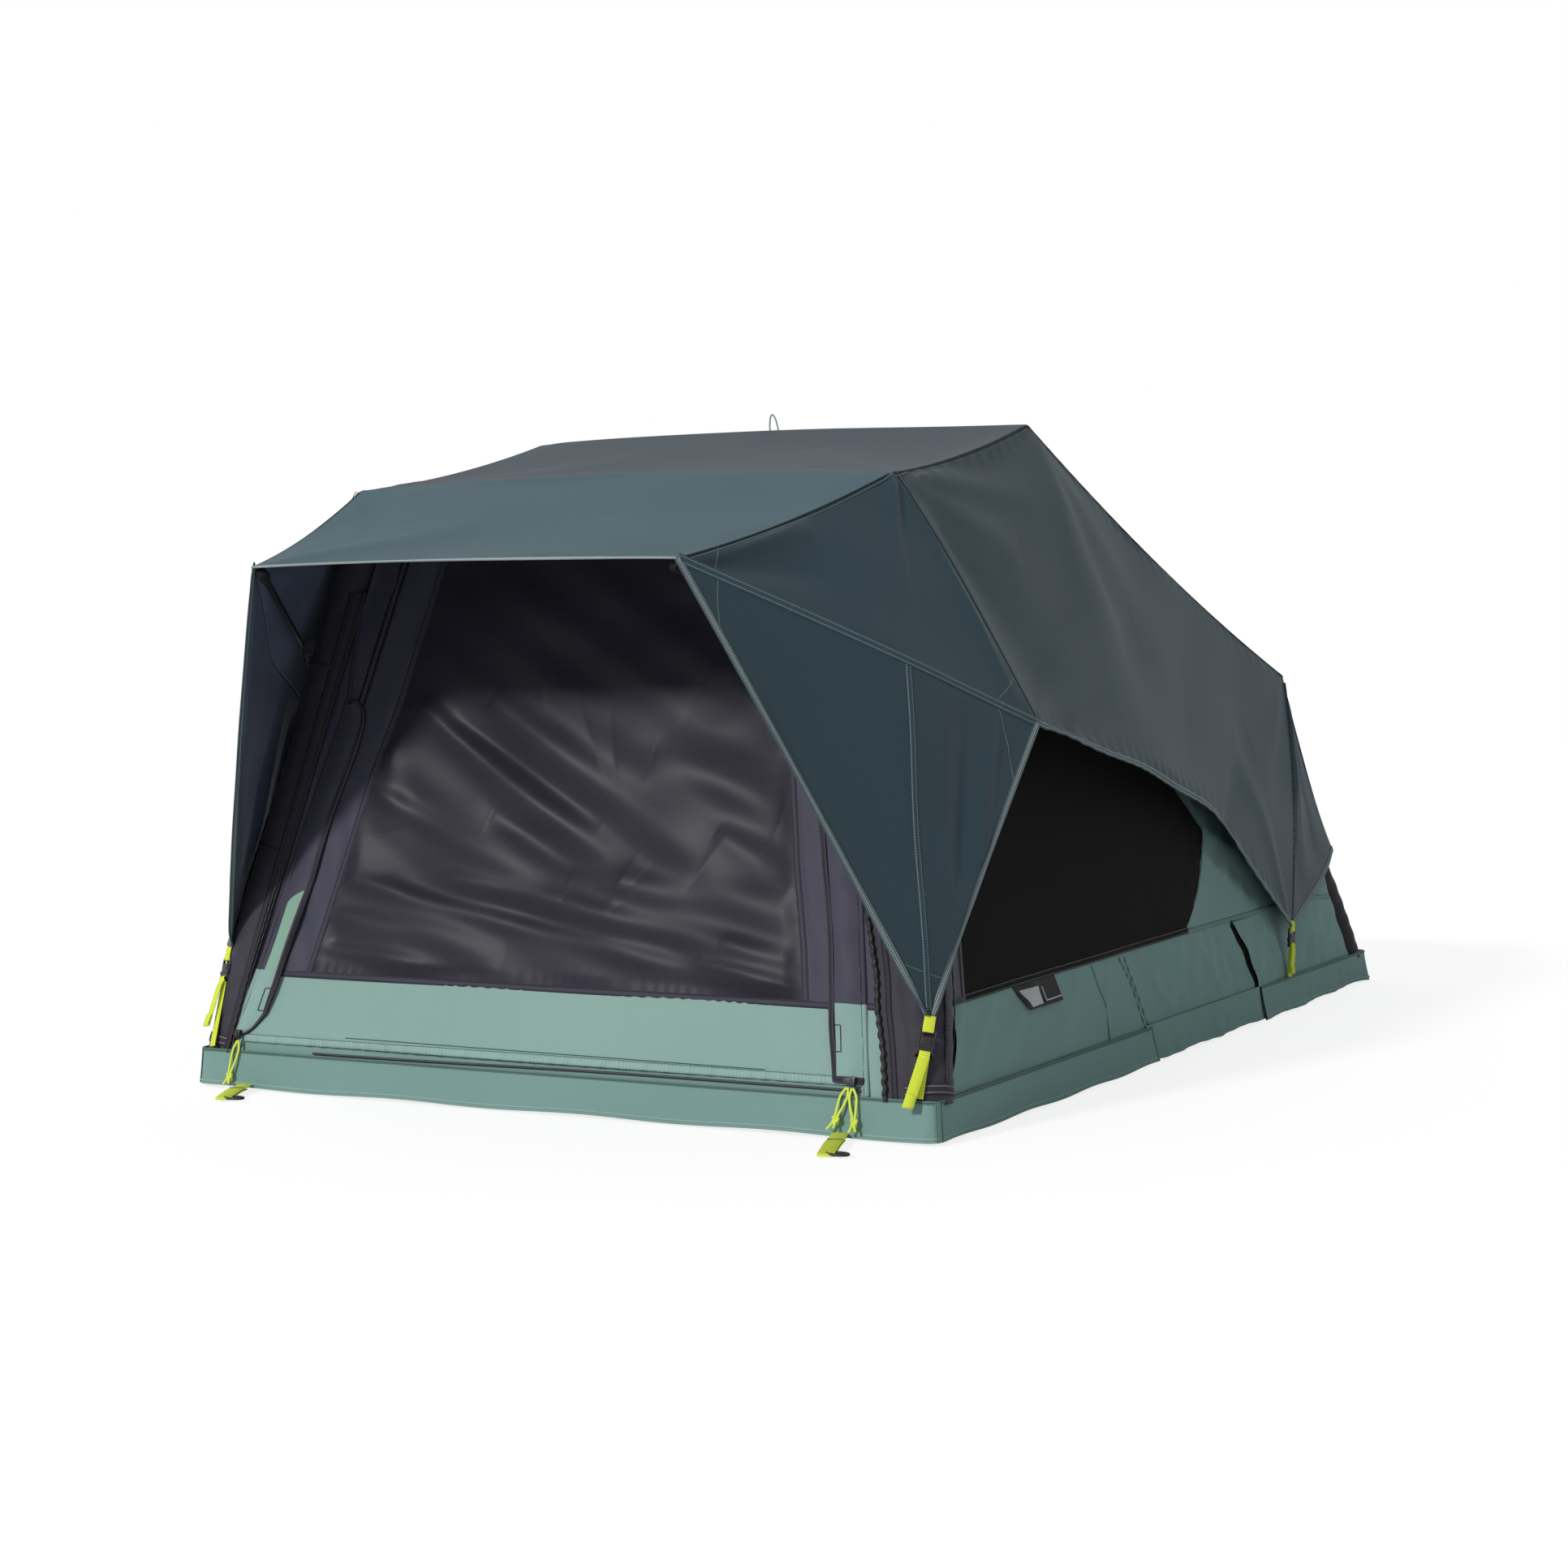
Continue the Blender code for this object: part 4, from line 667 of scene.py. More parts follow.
def fold_split(cloth):
    """How u and v run on the part of a cloth on each leaf, up to the plane of the fold."""
    limit = FOLD_Y + NEAR_Y

    def at_fold(v):
        low, high = np.zeros_like(v), np.ones_like(v)
        rising = cloth.base(high, v)[..., 1] > cloth.base(low, v)[..., 1]
        for _ in range(26):
            mid = (low + high) / 2
            before = (cloth.base(mid, v)[..., 1] < limit) == rising
            low, high = np.where(before, mid, low), np.where(before, high, mid)
        return (low + high) / 2

    def near(u, v):
        return u * at_fold(v), v

    def far(u, v):
        edge = at_fold(v)
        return edge + u * (1 - edge), v
    return {"near": near, "far": far}


# Camera, floor, lights

camera = bpy.data.cameras.new("camera")
camera.lens = 63.1
camera.sensor_width = 36
camera.clip_end = 60
eye = bpy.data.objects.new("camera", camera)
eye.location = (2.175, -4.638, 0.666)
eye.rotation_euler = (math.radians(90 - 2.267), 0, math.radians(26.38))
bpy.context.scene.collection.objects.link(eye)
bpy.context.scene.camera = eye
bpy.context.scene.view_settings.view_transform = "Standard"


def set_stage():
    """Pale floor and sky that read as white, with the tent's shadow kept on the floor."""
    world = bpy.data.worlds.new("studio")
    world.use_nodes = True
    bpy.context.scene.world = world
    tree = world.node_tree
    tree.nodes.clear()
    path = add(tree, "LightPath")
    seen = math_node(tree, "MAXIMUM", path.outputs["Is Camera Ray"], path.outputs["Is Glossy Ray"])
    seen = math_node(tree, "MAXIMUM", seen, path.outputs["Is Transmission Ray"])
    soft = add(tree, "Background", {"Color": (0.94, 0.97, 1.0, 1), "Strength": 0.36})
    white = add(tree, "Background", {"Color": (1, 1, 1, 1), "Strength": 1.0})
    mix = add(tree, "MixShader", {0: seen, 1: soft.outputs[0], 2: white.outputs[0]})
    out = add(tree, "OutputWorld", {0: mix.outputs[0]})
    tree.nodes.active = out

    floor_mesh = bpy.data.meshes.new("floor")
    size = 24
    floor_mesh.from_pydata([(-size, -size, -0.0015), (size, -size, -0.0015), (size, size, -0.0015),
                            (-size, size, -0.0015)], [], [(0, 1, 2, 3)])
    floor = bpy.data.objects.new("floor", floor_mesh)
    bpy.context.scene.collection.objects.link(floor)
    made = bpy.data.materials.new("pale floor")
    made.use_nodes = True
    tree = made.node_tree
    shader = tree.nodes["Principled BSDF"]
    shader.inputs["Base Color"].default_value = (0.86, 0.87, 0.87, 1)
    shader.inputs["Roughness"].default_value = 0.9
    path = add(tree, "LightPath")
    glow = add(tree, "Emission", {0: (1, 1, 1, 1), 1: 1.14})
    share = math_node(tree, "MULTIPLY", path.outputs["Is Camera Ray"], 0.72)
    mix = add(tree, "MixShader", {0: share, 1: shader.outputs[0], 2: glow.outputs[0]})
    tree.links.new(mix.outputs[0], tree.nodes["Material Output"].inputs[0])
    floor_mesh.materials.append(made)

    def lamp(name, kind, energy, direction, **settings):
        data = bpy.data.lights.new(name, kind)
        data.energy = energy
        for key, value in settings.items():
            setattr(data, key, value)
        obj = bpy.data.objects.new(name, data)
        toward = Vector(direction).normalized()
        obj.rotation_euler = toward.to_track_quat("Z", "Y").to_euler()
        obj.location = toward * 6
        bpy.context.scene.collection.objects.link(obj)

    lamp("key", "SUN", 2.2, (-0.22, -0.84, 0.46), angle=math.radians(7), color=(1.0, 0.985, 0.96))
    lamp("top", "SUN", 0.35, (-0.5, 0.1, 1.0), angle=math.radians(40))


set_stage()

# Flysheet

AWNING = (0.360, -0.231, 0.828)
CREST = (0.482, 0.220, 0.971)
RIDGE = (0.475, 0.787, 1.0895)
FAR_TOP = (0.530, 2.134, 0.666)
WING = (0.670, 0.338, 0.594)
KINK = (0.560, 0.078, 0.692)
TIPS = {1: (0.6290, 0.024, 0.173), -1: (0.630, 0.054, 0.2145)}
EAR = (0.650, 1.800, 0.167)
END = (0.602, 2.276, 0.292)
ARCH_Y = 2.2832
ARCH_Z = 0.270


def put(point, side=1):
    return at(side * point[0], point[1], point[2])


def fly_lines(side):
    """The seams and hems of one side of the flysheet."""
    p = {n: put(v, side) for n,
         v in {"awning": AWNING, "crest": CREST, "ridge": RIDGE, "far": FAR_TOP, "wing": WING,
                                      "kink": KINK, "tip": TIPS[side], "ear": EAR, "end": END}.items()}
    x = np.array((side, 0, 0))
    z = np.array((0, 0, 1))
    y = np.array((0, 1, 0))
    eave = chain([p["crest"], p["ridge"], p["far"]], [-0.011 * z, -0.017 * z - 0.004 * x], 161)
    front = chain([p["awning"], p["crest"]], [-0.011 * z], 61)
    seam = spline([p["crest"], put((0.513, 0.234, 0.921), side), put((0.558, 0.262, 0.836), side),
                   put((0.614, 0.300, 0.718), side), p["wing"]], 61)
    hem_points = [WING, (0.670, 0.489, 0.570), (0.668, 0.642, 0.544), (0.664, 0.853, 0.512),
                  (0.655, 1.052, 0.471),
                  (0.642, 1.267, 0.430), (0.638, 1.390, 0.385), (0.646, 1.642, 0.248), EAR]
    hem = spline([put(q, side) for q in hem_points], 161)
    crease = chain([p["far"], p["ear"]], [0.030 * y + 0.004 * x], 61)
    band = spline([put(q, side) for q in (AWNING, (0.465, -0.066, 0.757), KINK, (0.614, 0.208, 0.643), WING)],
                  81)
    lip = chain([p["awning"], p["tip"]], [0.004 * x - 0.002 * y], 81)
    back_lip = chain([p["wing"], p["tip"]], [-0.010 * y + 0.002 * x], 81)
    ear_hem = spline([p["ear"], put((0.644, 1.870, 0.182), side), put((0.628, 2.042, 0.220), side),
                      put((0.616, 2.180, 0.258), side), p["end"]], 61)
    return dict(p, eave=eave, front=front, seam=seam, hem=hem, crease=crease, band=band, lip=lip,
                back_lip=back_lip, ear_hem=ear_hem)


def seamed(name, line, shift=0.005):
    """A folded seam: a thin dark line with a row of pale stitches beside it."""
    taped(name, line, 0.0032, "fly_line")
    taped(f"{name}_stitch", line, 0.0016, "fly_stitch", shift=shift, rise=0.0003)


def make_fly():
    right, left = fly_lines(1), fly_lines(-1)
    lines = {"right": right, "left": left}
    z = np.array((0, 0, 1))
    hem_top = chain([left["awning"], right["awning"]], [0.004 * z], 81)
    crest = chain([left["crest"], right["crest"]], [0.012 * z], 81)
    awning = Cloth(coons(hem_top, crest, left["front"], right["front"]), billow=0.0022, size=0.35, seed=3,
                   folds=[(put((0.36, -0.231, 0.828)), put((0.10, 0.0, 0.90)), 0.02, 0.06, 0.004),
                          (put((-0.36, -0.231, 0.828)), put((-0.10, 0.0, 0.90)), 0.02, 0.06, 0.004),
                          (put((-0.48, 0.22, 0.971)), put((-0.25, -0.02, 0.9)), 0.03, 0.05, -0.006)])
    made = dress(sew("flysheet_awning", awning, (90, 60), ("awning", "lining")), "near")
    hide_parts("fly_awning")
    declare(made)
    taped("awning_hem", awning.line([(0, 0), (1, 0)], 90), 0.0095, "pale_tape", wrap=0.0028, shift=-0.002)

    far_crest = chain([left["far"], right["far"]], [-0.002 * z], 81)
    roof = Cloth(coons(crest, far_crest, left["eave"], right["eave"]), billow=0.0020, size=0.45, seed=8,
                 margin=0.05,
                 folds=[(put((0.48, 0.24, 0.975)), put((0.15, 0.60, 1.05)), 0.02, 0.08, 0.004),
                        (put((-0.48, 0.24, 0.975)), put((-0.15, 0.60, 1.05)), 0.02, 0.08, 0.004)],
                 extra=lambda u, v, p: roof_shape(u, v, p))
    swapped = Cloth(lambda u, v: roof.base(v, u), billow=0.0020, size=0.45, seed=8, margin=0.05,
                    folds=roof.folds,
                    extra=lambda u, v, p: roof_shape(v, u, p))
    parts = fold_split(swapped)
    for leaf in ("near", "far"):
        made = dress(sew(f"flysheet_roof_{leaf}", swapped, (110, 60), ("roof", "lining"), remap=parts[leaf]),
                     leaf)
        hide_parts(f"fly_roof_{leaf}")
        declare(made)

    for side, sign in SIDES.items():
        make_side(side, sign, lines[side])
    make_end(left, right)


def roof_shape(u, v, p):
    """The cloth hangs a little between the beams."""
    y = p[..., 1] - NEAR_Y
    sag = np.where(y < 0.787, np.clip((y - 0.22) / 0.567, 0, 1), np.clip((2.134 - y) / 1.347, 0, 1))
    return -0.010 * np.sin(math.pi * sag) * np.sin(math.pi * np.clip(u, 0, 1)) ** 0.5


def make_side(side, sign, line):
    """Side panel, wing and ear of the flysheet on one side."""
    def q(x, y, z):
        return put((x, y, z), sign)

    folds = [
        (q(0.490, 0.290, 0.960), q(0.668, 0.520, 0.580), 0.050, 0.120, -0.015),
        (q(0.482, 0.225, 0.968), q(0.560, 0.55, 0.86), 0.010, 0.05, 0.006),
        (q(0.482, 0.225, 0.968), q(0.600, 0.40, 0.78), 0.010, 0.04, -0.005),
        (q(0.482, 0.225, 0.968), q(0.520, 0.70, 0.96), 0.010, 0.04, 0.006),
        (q(0.475, 0.787, 1.085), q(0.655, 0.90, 0.56), 0.020, 0.13, 0.007),
        (q(0.475, 0.787, 1.085), q(0.600, 1.30, 0.62), 0.020, 0.12, 0.005),
        (q(0.670, 0.340, 0.594), q(0.560, 0.92, 0.80), 0.012, 0.08, 0.007),
        (q(0.670, 0.47, 0.588), q(0.560, 1.08, 0.72), 0.015, 0.06, -0.005),
        (q(0.635, 1.40, 0.38), q(0.560, 1.75, 0.55), 0.015, 0.07, -0.006),
        (q(0.650, 1.795, 0.175), q(0.570, 1.60, 0.55), 0.012, 0.06, 0.007),
        (q(0.530, 2.130, 0.66), q(0.610, 1.70, 0.40), 0.012, 0.07, 0.006),
    ]
    panel = Cloth(coons(line["eave"], line["hem"], line["seam"], line["crease"]), folds=folds, billow=0.0022,
                  size=0.34, seed=20 + sign, margin=0.04, extra=tight_edge)
    parts = fold_split(panel)
    for leaf in ("near", "far"):
        made = dress(sew(f"flysheet_side_{leaf}_{side}", panel, (120, 70), ("side", "lining"),
                         remap=parts[leaf]),
                     leaf)
        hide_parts(f"fly_side_{leaf}_{side}")
        declare(made)
    seamed(f"eave_seam_{side}", panel.line([(0, 0.006), (1, 0.006)], 161), -0.005 * sign)
    taped(f"side_hem_{side}", panel.line([(0, 1), (1, 1)], 161), 0.013, "lip_tape", wrap=0.0032)
    seamed(f"crest_seam_{side}", panel.line([(0.003, 0), (0.003, 1)], 81), 0.005 * sign)

    # upper and lower half of the wing meet in the stitched band
    wing_folds = [
        (q(0.482, 0.215, 0.966), q(0.526, 0.092, 0.715), 0.010, 0.012, 0.007),
        (q(0.484, 0.217, 0.960), q(0.537, 0.120, 0.720), 0.009, 0.009, 0.005),
        (q(0.488, 0.218, 0.950), q(0.548, 0.150, 0.720), 0.010, 0.016, -0.006),
        (q(0.500, 0.240, 0.930), q(0.650, 0.310, 0.620), 0.014, 0.020, 0.007),
        (q(0.362, -0.225, 0.826), q(0.441, 0.029, 0.882), 0.009, 0.024, 0.010),
        (q(0.366, -0.215, 0.815), q(0.470, 0.020, 0.815), 0.008, 0.026, -0.006),
        (q(0.400, -0.165, 0.765), q(0.575, 0.005, 0.350), 0.007, 0.012, 0.008),
        (q(0.470, -0.055, 0.705), q(0.558, 0.020, 0.455), 0.007, 0.012, 0.006),
        (q(0.38, -0.19, 0.80), q(0.60, 0.00, 0.33), 0.030, 0.030, -0.006),
        (q(0.530, 0.082, 0.700), q(0.575, 0.046, 0.440), 0.012, 0.014, 0.008),
        (q(0.574, 0.160, 0.660), q(0.620, 0.085, 0.330), 0.016, 0.020, 0.008),
        (q(0.600, 0.200, 0.645), q(0.630, 0.115, 0.360), 0.010, 0.016, -0.005),
        (q(0.64, 0.25, 0.62), q(0.636, 0.16, 0.38), 0.010, 0.020, 0.005),
        (q(0.648, 0.290, 0.605), q(0.646, 0.235, 0.500), 0.004, 0.008, 0.0035),
        (q(0.660, 0.312, 0.592), q(0.652, 0.255, 0.490), 0.004, 0.007, 0.0035),
        (q(0.668, 0.33, 0.58), q(0.640, 0.08, 0.26), 0.012, 0.025, 0.004),
    ]
    apex = np.repeat(line["crest"][None], 81, 0)
    upper = Cloth(coons(apex, line["band"], even(line["front"][::-1], 61), line["seam"]), folds=wing_folds,
                  billow=0.0016, size=0.2, seed=31 + sign, margin=0.05)
    made = dress(sew(f"flysheet_wing_top_{side}", upper, (90, 70), ("wing", "lining"), merge=True), "near")
    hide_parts(f"fly_wing_{side}")
    declare(made)
    tip = np.repeat(line["tip"][None], 81, 0)
    lower = Cloth(coons(line["band"], tip, line["lip"], line["back_lip"]), folds=wing_folds, billow=0.0016,
                  size=0.2, seed=41 + sign, margin=0.05)
    made = dress(sew(f"flysheet_wing_foot_{side}", lower, (90, 90), ("wing", "lining"), merge=True), "near")
    declare(made)
    taped(f"wing_band_{side}", lower.line([(0, 0.0), (1, 0.0)], 90), 0.015, "fly_tape", rise=0.0010,
          wave=0.0004)
    taped(f"front_lip_{side}", lower.line([(0, 0), (0, 0.985)], 90), 0.013, "lip_tape", wrap=0.0032)
    taped(f"back_lip_{side}", lower.line([(1, 0), (1, 0.985)], 90), 0.013, "lip_tape", wrap=0.0032)
    taped(f"wing_seam_{side}", lower.line([(0.585, 0.01), (0.565, 0.97)], 80), 0.011, "fly_tape")
    seamed(f"front_seam_{side}", upper.line([(0.004, 0.02), (0.004, 0.99)], 60), 0.005 * sign)
    patches = {"tip": (lower, [(0.06, 0.87), (0.94, 0.87)]), "front": (lower, [(0.100, 0.0), (0.0, 0.165)]),
               "front_top": (upper, [(0.105, 1.0), (0.0, 0.83)]),
               "corner": (lower, [(0.87, 0.0), (1.0, 0.23)]),
               "corner_top": (upper, [(0.86, 1.0), (1.0, 0.82)])}
    for place, (cloth, corners) in patches.items():
        taped(f"wing_patch_{place}_{side}", cloth.line(corners, 24), 0.0018, "fly_stitch", lift=0.0002,
              rise=0.0003)
    for edge, u in (("front", 0), ("back", 1)):
        taped(f"{edge}_lip_piping_{side}", lower.line([(u, 0), (u, 0.985)], 90), 0.0034, "pale_tape",
              wrap=0.0042)

    # the ear folds round the far beam
    top = np.repeat(line["far"][None], 61, 0)
    edge = chain([line["far"], line["end"]], [np.array((-0.007 * sign, -0.010, 0))], 61)
    ear = Cloth(coons(top, line["ear_hem"], line["crease"], edge), billow=0.0022, size=0.2, seed=51 + sign,
                folds=[(q(0.530, 2.130, 0.66), q(0.640, 1.95, 0.25), 0.012, 0.05, 0.008),
                       (q(0.530, 2.134, 0.66), q(0.630, 2.10, 0.27), 0.012, 0.03, -0.005)])
    made = dress(sew(f"flysheet_ear_{side}", ear, (60, 70), ("side", "lining"), merge=True), "far")
    declare(made)
    taped(f"ear_hem_{side}", ear.line([(0, 1), (1, 1)], 60), 0.013, "lip_tape", wrap=0.0032)
    taped(f"ear_seam_{side}", ear.line([(0.004, 0.03), (0.004, 0.985)], 60), 0.010, "crease", rise=0.0012,
          wave=0.0012)


def tight_edge(u, v, p):
    """Small gathers beside a side panel's seams."""
    run = p[..., 1] + p[..., 2] * 0.3
    near_top = np.exp(-(v / 0.05) ** 2) + np.exp(-((1 - v) / 0.05) ** 2)
    inside = smoothstep(np.minimum(v, 1 - v), 0, 0.02)
    return 0.0012 * near_top * inside * np.sin(run * 2 * math.pi / 0.047 + 3 * np.sin(run * 9))


def make_end(left, right):
    """The far end of the flysheet, with an arch over its hem."""
    top = chain([left["far"], right["far"]], [np.array((0, 0, -0.002))], 81)
    arch = [left["end"]] + [at(x, ARCH_Y - 0.045 * h, ARCH_Z + 0.150 * h) for x, h in
                            ((-0.50, 0.34), (-0.35, 0.80), (-0.18, 0.95), (0, 1.0), (0.18, 0.95),
                             (0.35, 0.80),
                             (0.50, 0.34))] + [right["end"]]
    bottom = spline(arch, 121)
    sides = [chain([line["far"], line["end"]], [np.array((-0.007 * s, -0.010, 0))], 61)
             for line, s in ((left, -1), (right, 1))]
    back_at = at(0, 0, 0)[1]

    def over_wall(u, v, p):
        short = end_y(p[..., 2]) + 0.013 - (p[..., 1] - back_at)
        return np.maximum(short, 0) * smoothstep(0.595 - np.abs(p[..., 0]), 0, 0.05)
    end = Cloth(coons(top, bottom, *sides), billow=0.0035, size=0.35, seed=61, margin=0.04, extra=over_wall,
                folds=[(put((0.52, 2.14, 0.66)), put((0.30, 2.25, 0.45)), 0.02, 0.07, 0.007),
                       (put((-0.52, 2.14, 0.66)), put((-0.30, 2.25, 0.45)), 0.02, 0.07, 0.007),
                       (put((0.60, 2.28, 0.28)), put((0.10, 2.16, 0.58)), 0.02, 0.08, -0.006),
                       (put((-0.60, 2.28, 0.28)), put((-0.10, 2.16, 0.58)), 0.02, 0.08, -0.006)])
    made = dress(sew("flysheet_end", end, (110, 40), ("side", "lining")), "far")
    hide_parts("fly_end")
    declare(made)
    taped("end_hem", end.line([(0, 1), (1, 1)], 121), 0.013, "pale_tape", wrap=0.0032)
    seamed("end_seam", end.line([(0, 0.01), (1, 0.01)], 81))


make_fly()

# More kinds of piece


def ribbon(name, path, across, width, thick, look):
    """Webbing: a closed flat band that keeps its width in one direction."""
    path = even(path, max(12, int(len(path) * 4)))
    across = np.asarray(across, float)
    along = np.gradient(path, axis=0)
    along /= np.linalg.norm(along, axis=1, keepdims=True)
    side = across - along * (along @ across)[:, None]
    side /= np.linalg.norm(side, axis=1, keepdims=True)
    out = np.cross(side, along)
    run = lengths(path[:, None], 0)[:, 0]
    section = [(-0.5, -0.3), (-0.48, 0.5), (0, 0.5), (0.48, 0.5), (0.5, -0.3), (0.48, -0.5), (0, -0.5),
               (-0.48, -0.5)]
    points = np.stack([path + side * a * width + out * b * thick for a, b in section], 1).reshape(-1, 3)
    uvs = np.stack([np.stack((run, np.full(len(run), a * width)), -1) for a, b in section], 1).reshape(-1, 2)
    faces = grid_faces(len(path), len(section), 0, True, True).tolist()
    last = (len(path) - 1) * len(section)
    faces.append(list(range(len(section)))[::-1])
    faces.append([last + k for k in range(len(section))])
    return new_mesh(name, points, faces, uvs, [look])


def blocks(name, parts, origin, across, along, look, bevel=0.0009):
    """Bevelled bars, each from its centre and half sizes in the axes across, along and out."""
    across = np.asarray(across, float) / np.linalg.norm(across)
    along = np.asarray(along, float)
    along = along - across * (across @ along)
    along /= np.linalg.norm(along)
    out = np.cross(across, along)
    bm = bmesh.new()
    for centre, half in parts:
        for v in bmesh.ops.create_cube(bm, size=2)["verts"]:
            q = [v.co[k] * half[k] + centre[k] for k in range(3)]
            v.co = Vector(np.asarray(origin) + across * q[0] + along * q[1] + out * q[2])
    bmesh.ops.bevel(bm, geom=bm.edges[:], offset=bevel, segments=3, affect="EDGES", profile=0.6)
    bmesh.ops.recalc_face_normals(bm, faces=bm.faces)
    mesh = bpy.data.meshes.new(name)
    bm.to_mesh(mesh)
    bm.free()
    mesh.materials.append(LOOKS[look])
    mesh.shade_smooth()
    made = bpy.data.objects.new(name, mesh)
    bpy.context.scene.collection.objects.link(made)
    return made


def cord(name, path, diameter, look, body):
    """A free cord along smooth points, riding on the given body."""
    path = spline(path, max(24, 12 * len(path)))
    made = tube(name, path, diameter / 2, look, sides=10)
    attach(made, body)
    return made


def turned_knot(name, centre, size, look, body):
    """A small overhand knot: a cord laid in a trefoil."""
    t = np.linspace(0, 2 * math.pi, 72, endpoint=False)
    x = np.sin(t) + 2 * np.sin(2 * t)
    z = np.cos(t) - 2 * np.cos(2 * t)
    y = -np.sin(3 * t)
    path = np.asarray(centre) + np.stack((x * 0.75, y * 1.1, z), -1) * size / 3.0
    path = np.concatenate((path, path[:1]))
    made = tube(name, path, size * 0.42, look, sides=8)
    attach(made, body)
    return made


# Front wall and door

FRONT_OUT = np.array((0, -1, FRONT_LEAN))
DOOR_FOLDS = [
    ((-0.31, 0.620), (0.12, 0.340), 0.010, 0.024, 0.0100),
              ((-0.18, 0.625), (0.24, 0.385), 0.012, 0.034, 0.0110),
    ((-0.25, 0.600), (0.05, 0.440), 0.008, 0.014, -0.0060),
              ((-0.15, 0.450), (0.10, 0.350), 0.014, 0.022, -0.0100),
    ((-0.42, 0.500), (0.00, 0.315), 0.008, 0.020, 0.0070),
              ((-0.44, 0.345), (0.42, 0.195), 0.009, 0.013, 0.0085),
    ((-0.22, 0.350), (0.40, 0.240), 0.010, 0.018, 0.0085),
              ((-0.30, 0.330), (0.25, 0.235), 0.010, 0.016, -0.0070),
    ((0.00, 0.355), (0.42, 0.315), 0.012, 0.022, 0.0070),
              ((0.06, 0.545), (0.36, 0.600), 0.030, 0.034, 0.0080),
    ((0.13, 0.540), (0.36, 0.480), 0.020, 0.030, -0.0090),
              ((-0.45, 0.232), (-0.16, 0.203), 0.006, 0.012, 0.0050),
    ((-0.44, 0.285), (-0.10, 0.235), 0.008, 0.024, 0.0060),
              ((0.24, 0.238), (0.43, 0.205), 0.006, 0.010, 0.0050),
    ((0.28, 0.270), (0.43, 0.235), 0.008, 0.014, 0.0050),
              ((0.25, 0.430), (0.39, 0.370), 0.010, 0.020, -0.0050),
    ((-0.26, 0.810), (0.20, 0.650), 0.020, 0.050, 0.0060),
              ((0.26, 0.800), (-0.10, 0.690), 0.020, 0.050, -0.0050),
    ((-0.36, 0.560), (-0.33, 0.420), 0.010, 0.018, 0.0040),
              ((0.30, 0.700), (0.02, 0.560), 0.015, 0.04, 0.0050),
]


def on_front(x, z):
    return at(x, front_y(z), z)


def front_panel(left, right, top, bottom, lift=0.0):
    """Part of the leaning front between two edges, given as functions of height."""
    def place(u, v):
        z = top + (bottom - top) * v
        x = left(z) * (1 - u) + right(z) * u
        return at(x, front_y(z) - lift, z)
    return place


def across_door(u, v, p):
    """Folds of the door's middle, which die out at its seams."""
    z = p[..., 2]
    beside = beside_panel(p[..., 0], z)
    rim = smoothstep(beside, 0.0, 0.035) * smoothstep(z, 0.19, 0.212)
    lines = [(on_front(*a), on_front(*b), 1.6 * w0, 1.7 * w1, 1.2 * h) for a, b, w0, w1, h in DOOR_FOLDS]
    slant = np.stack((0.8 * p[..., 0] - 0.6 * z, p[..., 1], 0.6 * p[..., 0] + 0.8 * z), -1)
    pucker = 0.0003 * np.sin(p[...,
                               0] * 2 * math.pi / 0.024 + 3 * np.sin(p[...,
                                                                       0] * 31)) * np.exp(-(z - 0.2) / 0.012)
    pucker = pucker * smoothstep(z, 0.190, 0.197)
    gather = 0.0005 * np.sin(z * 2 * math.pi / 0.030 + 2 * np.sin(z * 37)) * np.exp(-beside / 0.016)
    gather = gather * smoothstep(beside, 0, 0.006)
    return rim * (fold_height(p, lines) + 0.0026 * ripple(slant, 0.15, 5, (0.5, 1, 1.5))) + pucker + gather


def beside_door(u, v, p):
    return 0.0012 * ripple(p, 0.09, 7, (1.6, 1, 0.7)) * smoothstep(np.minimum(u, 1 - u), 0, 0.2)


def foot_relief(u, v, p):
    x, z = p[..., 0], p[..., 2]
    soft = 0.0016 * ripple(p, 0.22, 9, (0.6, 1, 1.6))
    hem = 0.0016 * np.sin(x * 2 * math.pi / 0.033 + 2 * np.sin(x * 17)) * np.exp(-(z - 0.07) / 0.02)
    bow = 0.006 * np.exp(-((x + 0.02) / 0.33) ** 2) * smoothstep(0.19 - z, 0.03, 0.11)
    return soft * smoothstep(np.minimum(v, 1 - v), 0, 0.1) + hem + bow


def door_piece(name, cloth, counts, looks):
    made = dress(sew(name, cloth, counts, looks), "near", body="door")
    declare(made)
    return made


def door_tape(name, line, width, look, **how):
    dress(strip(name, *line, width, look, **how), "near", body="door")


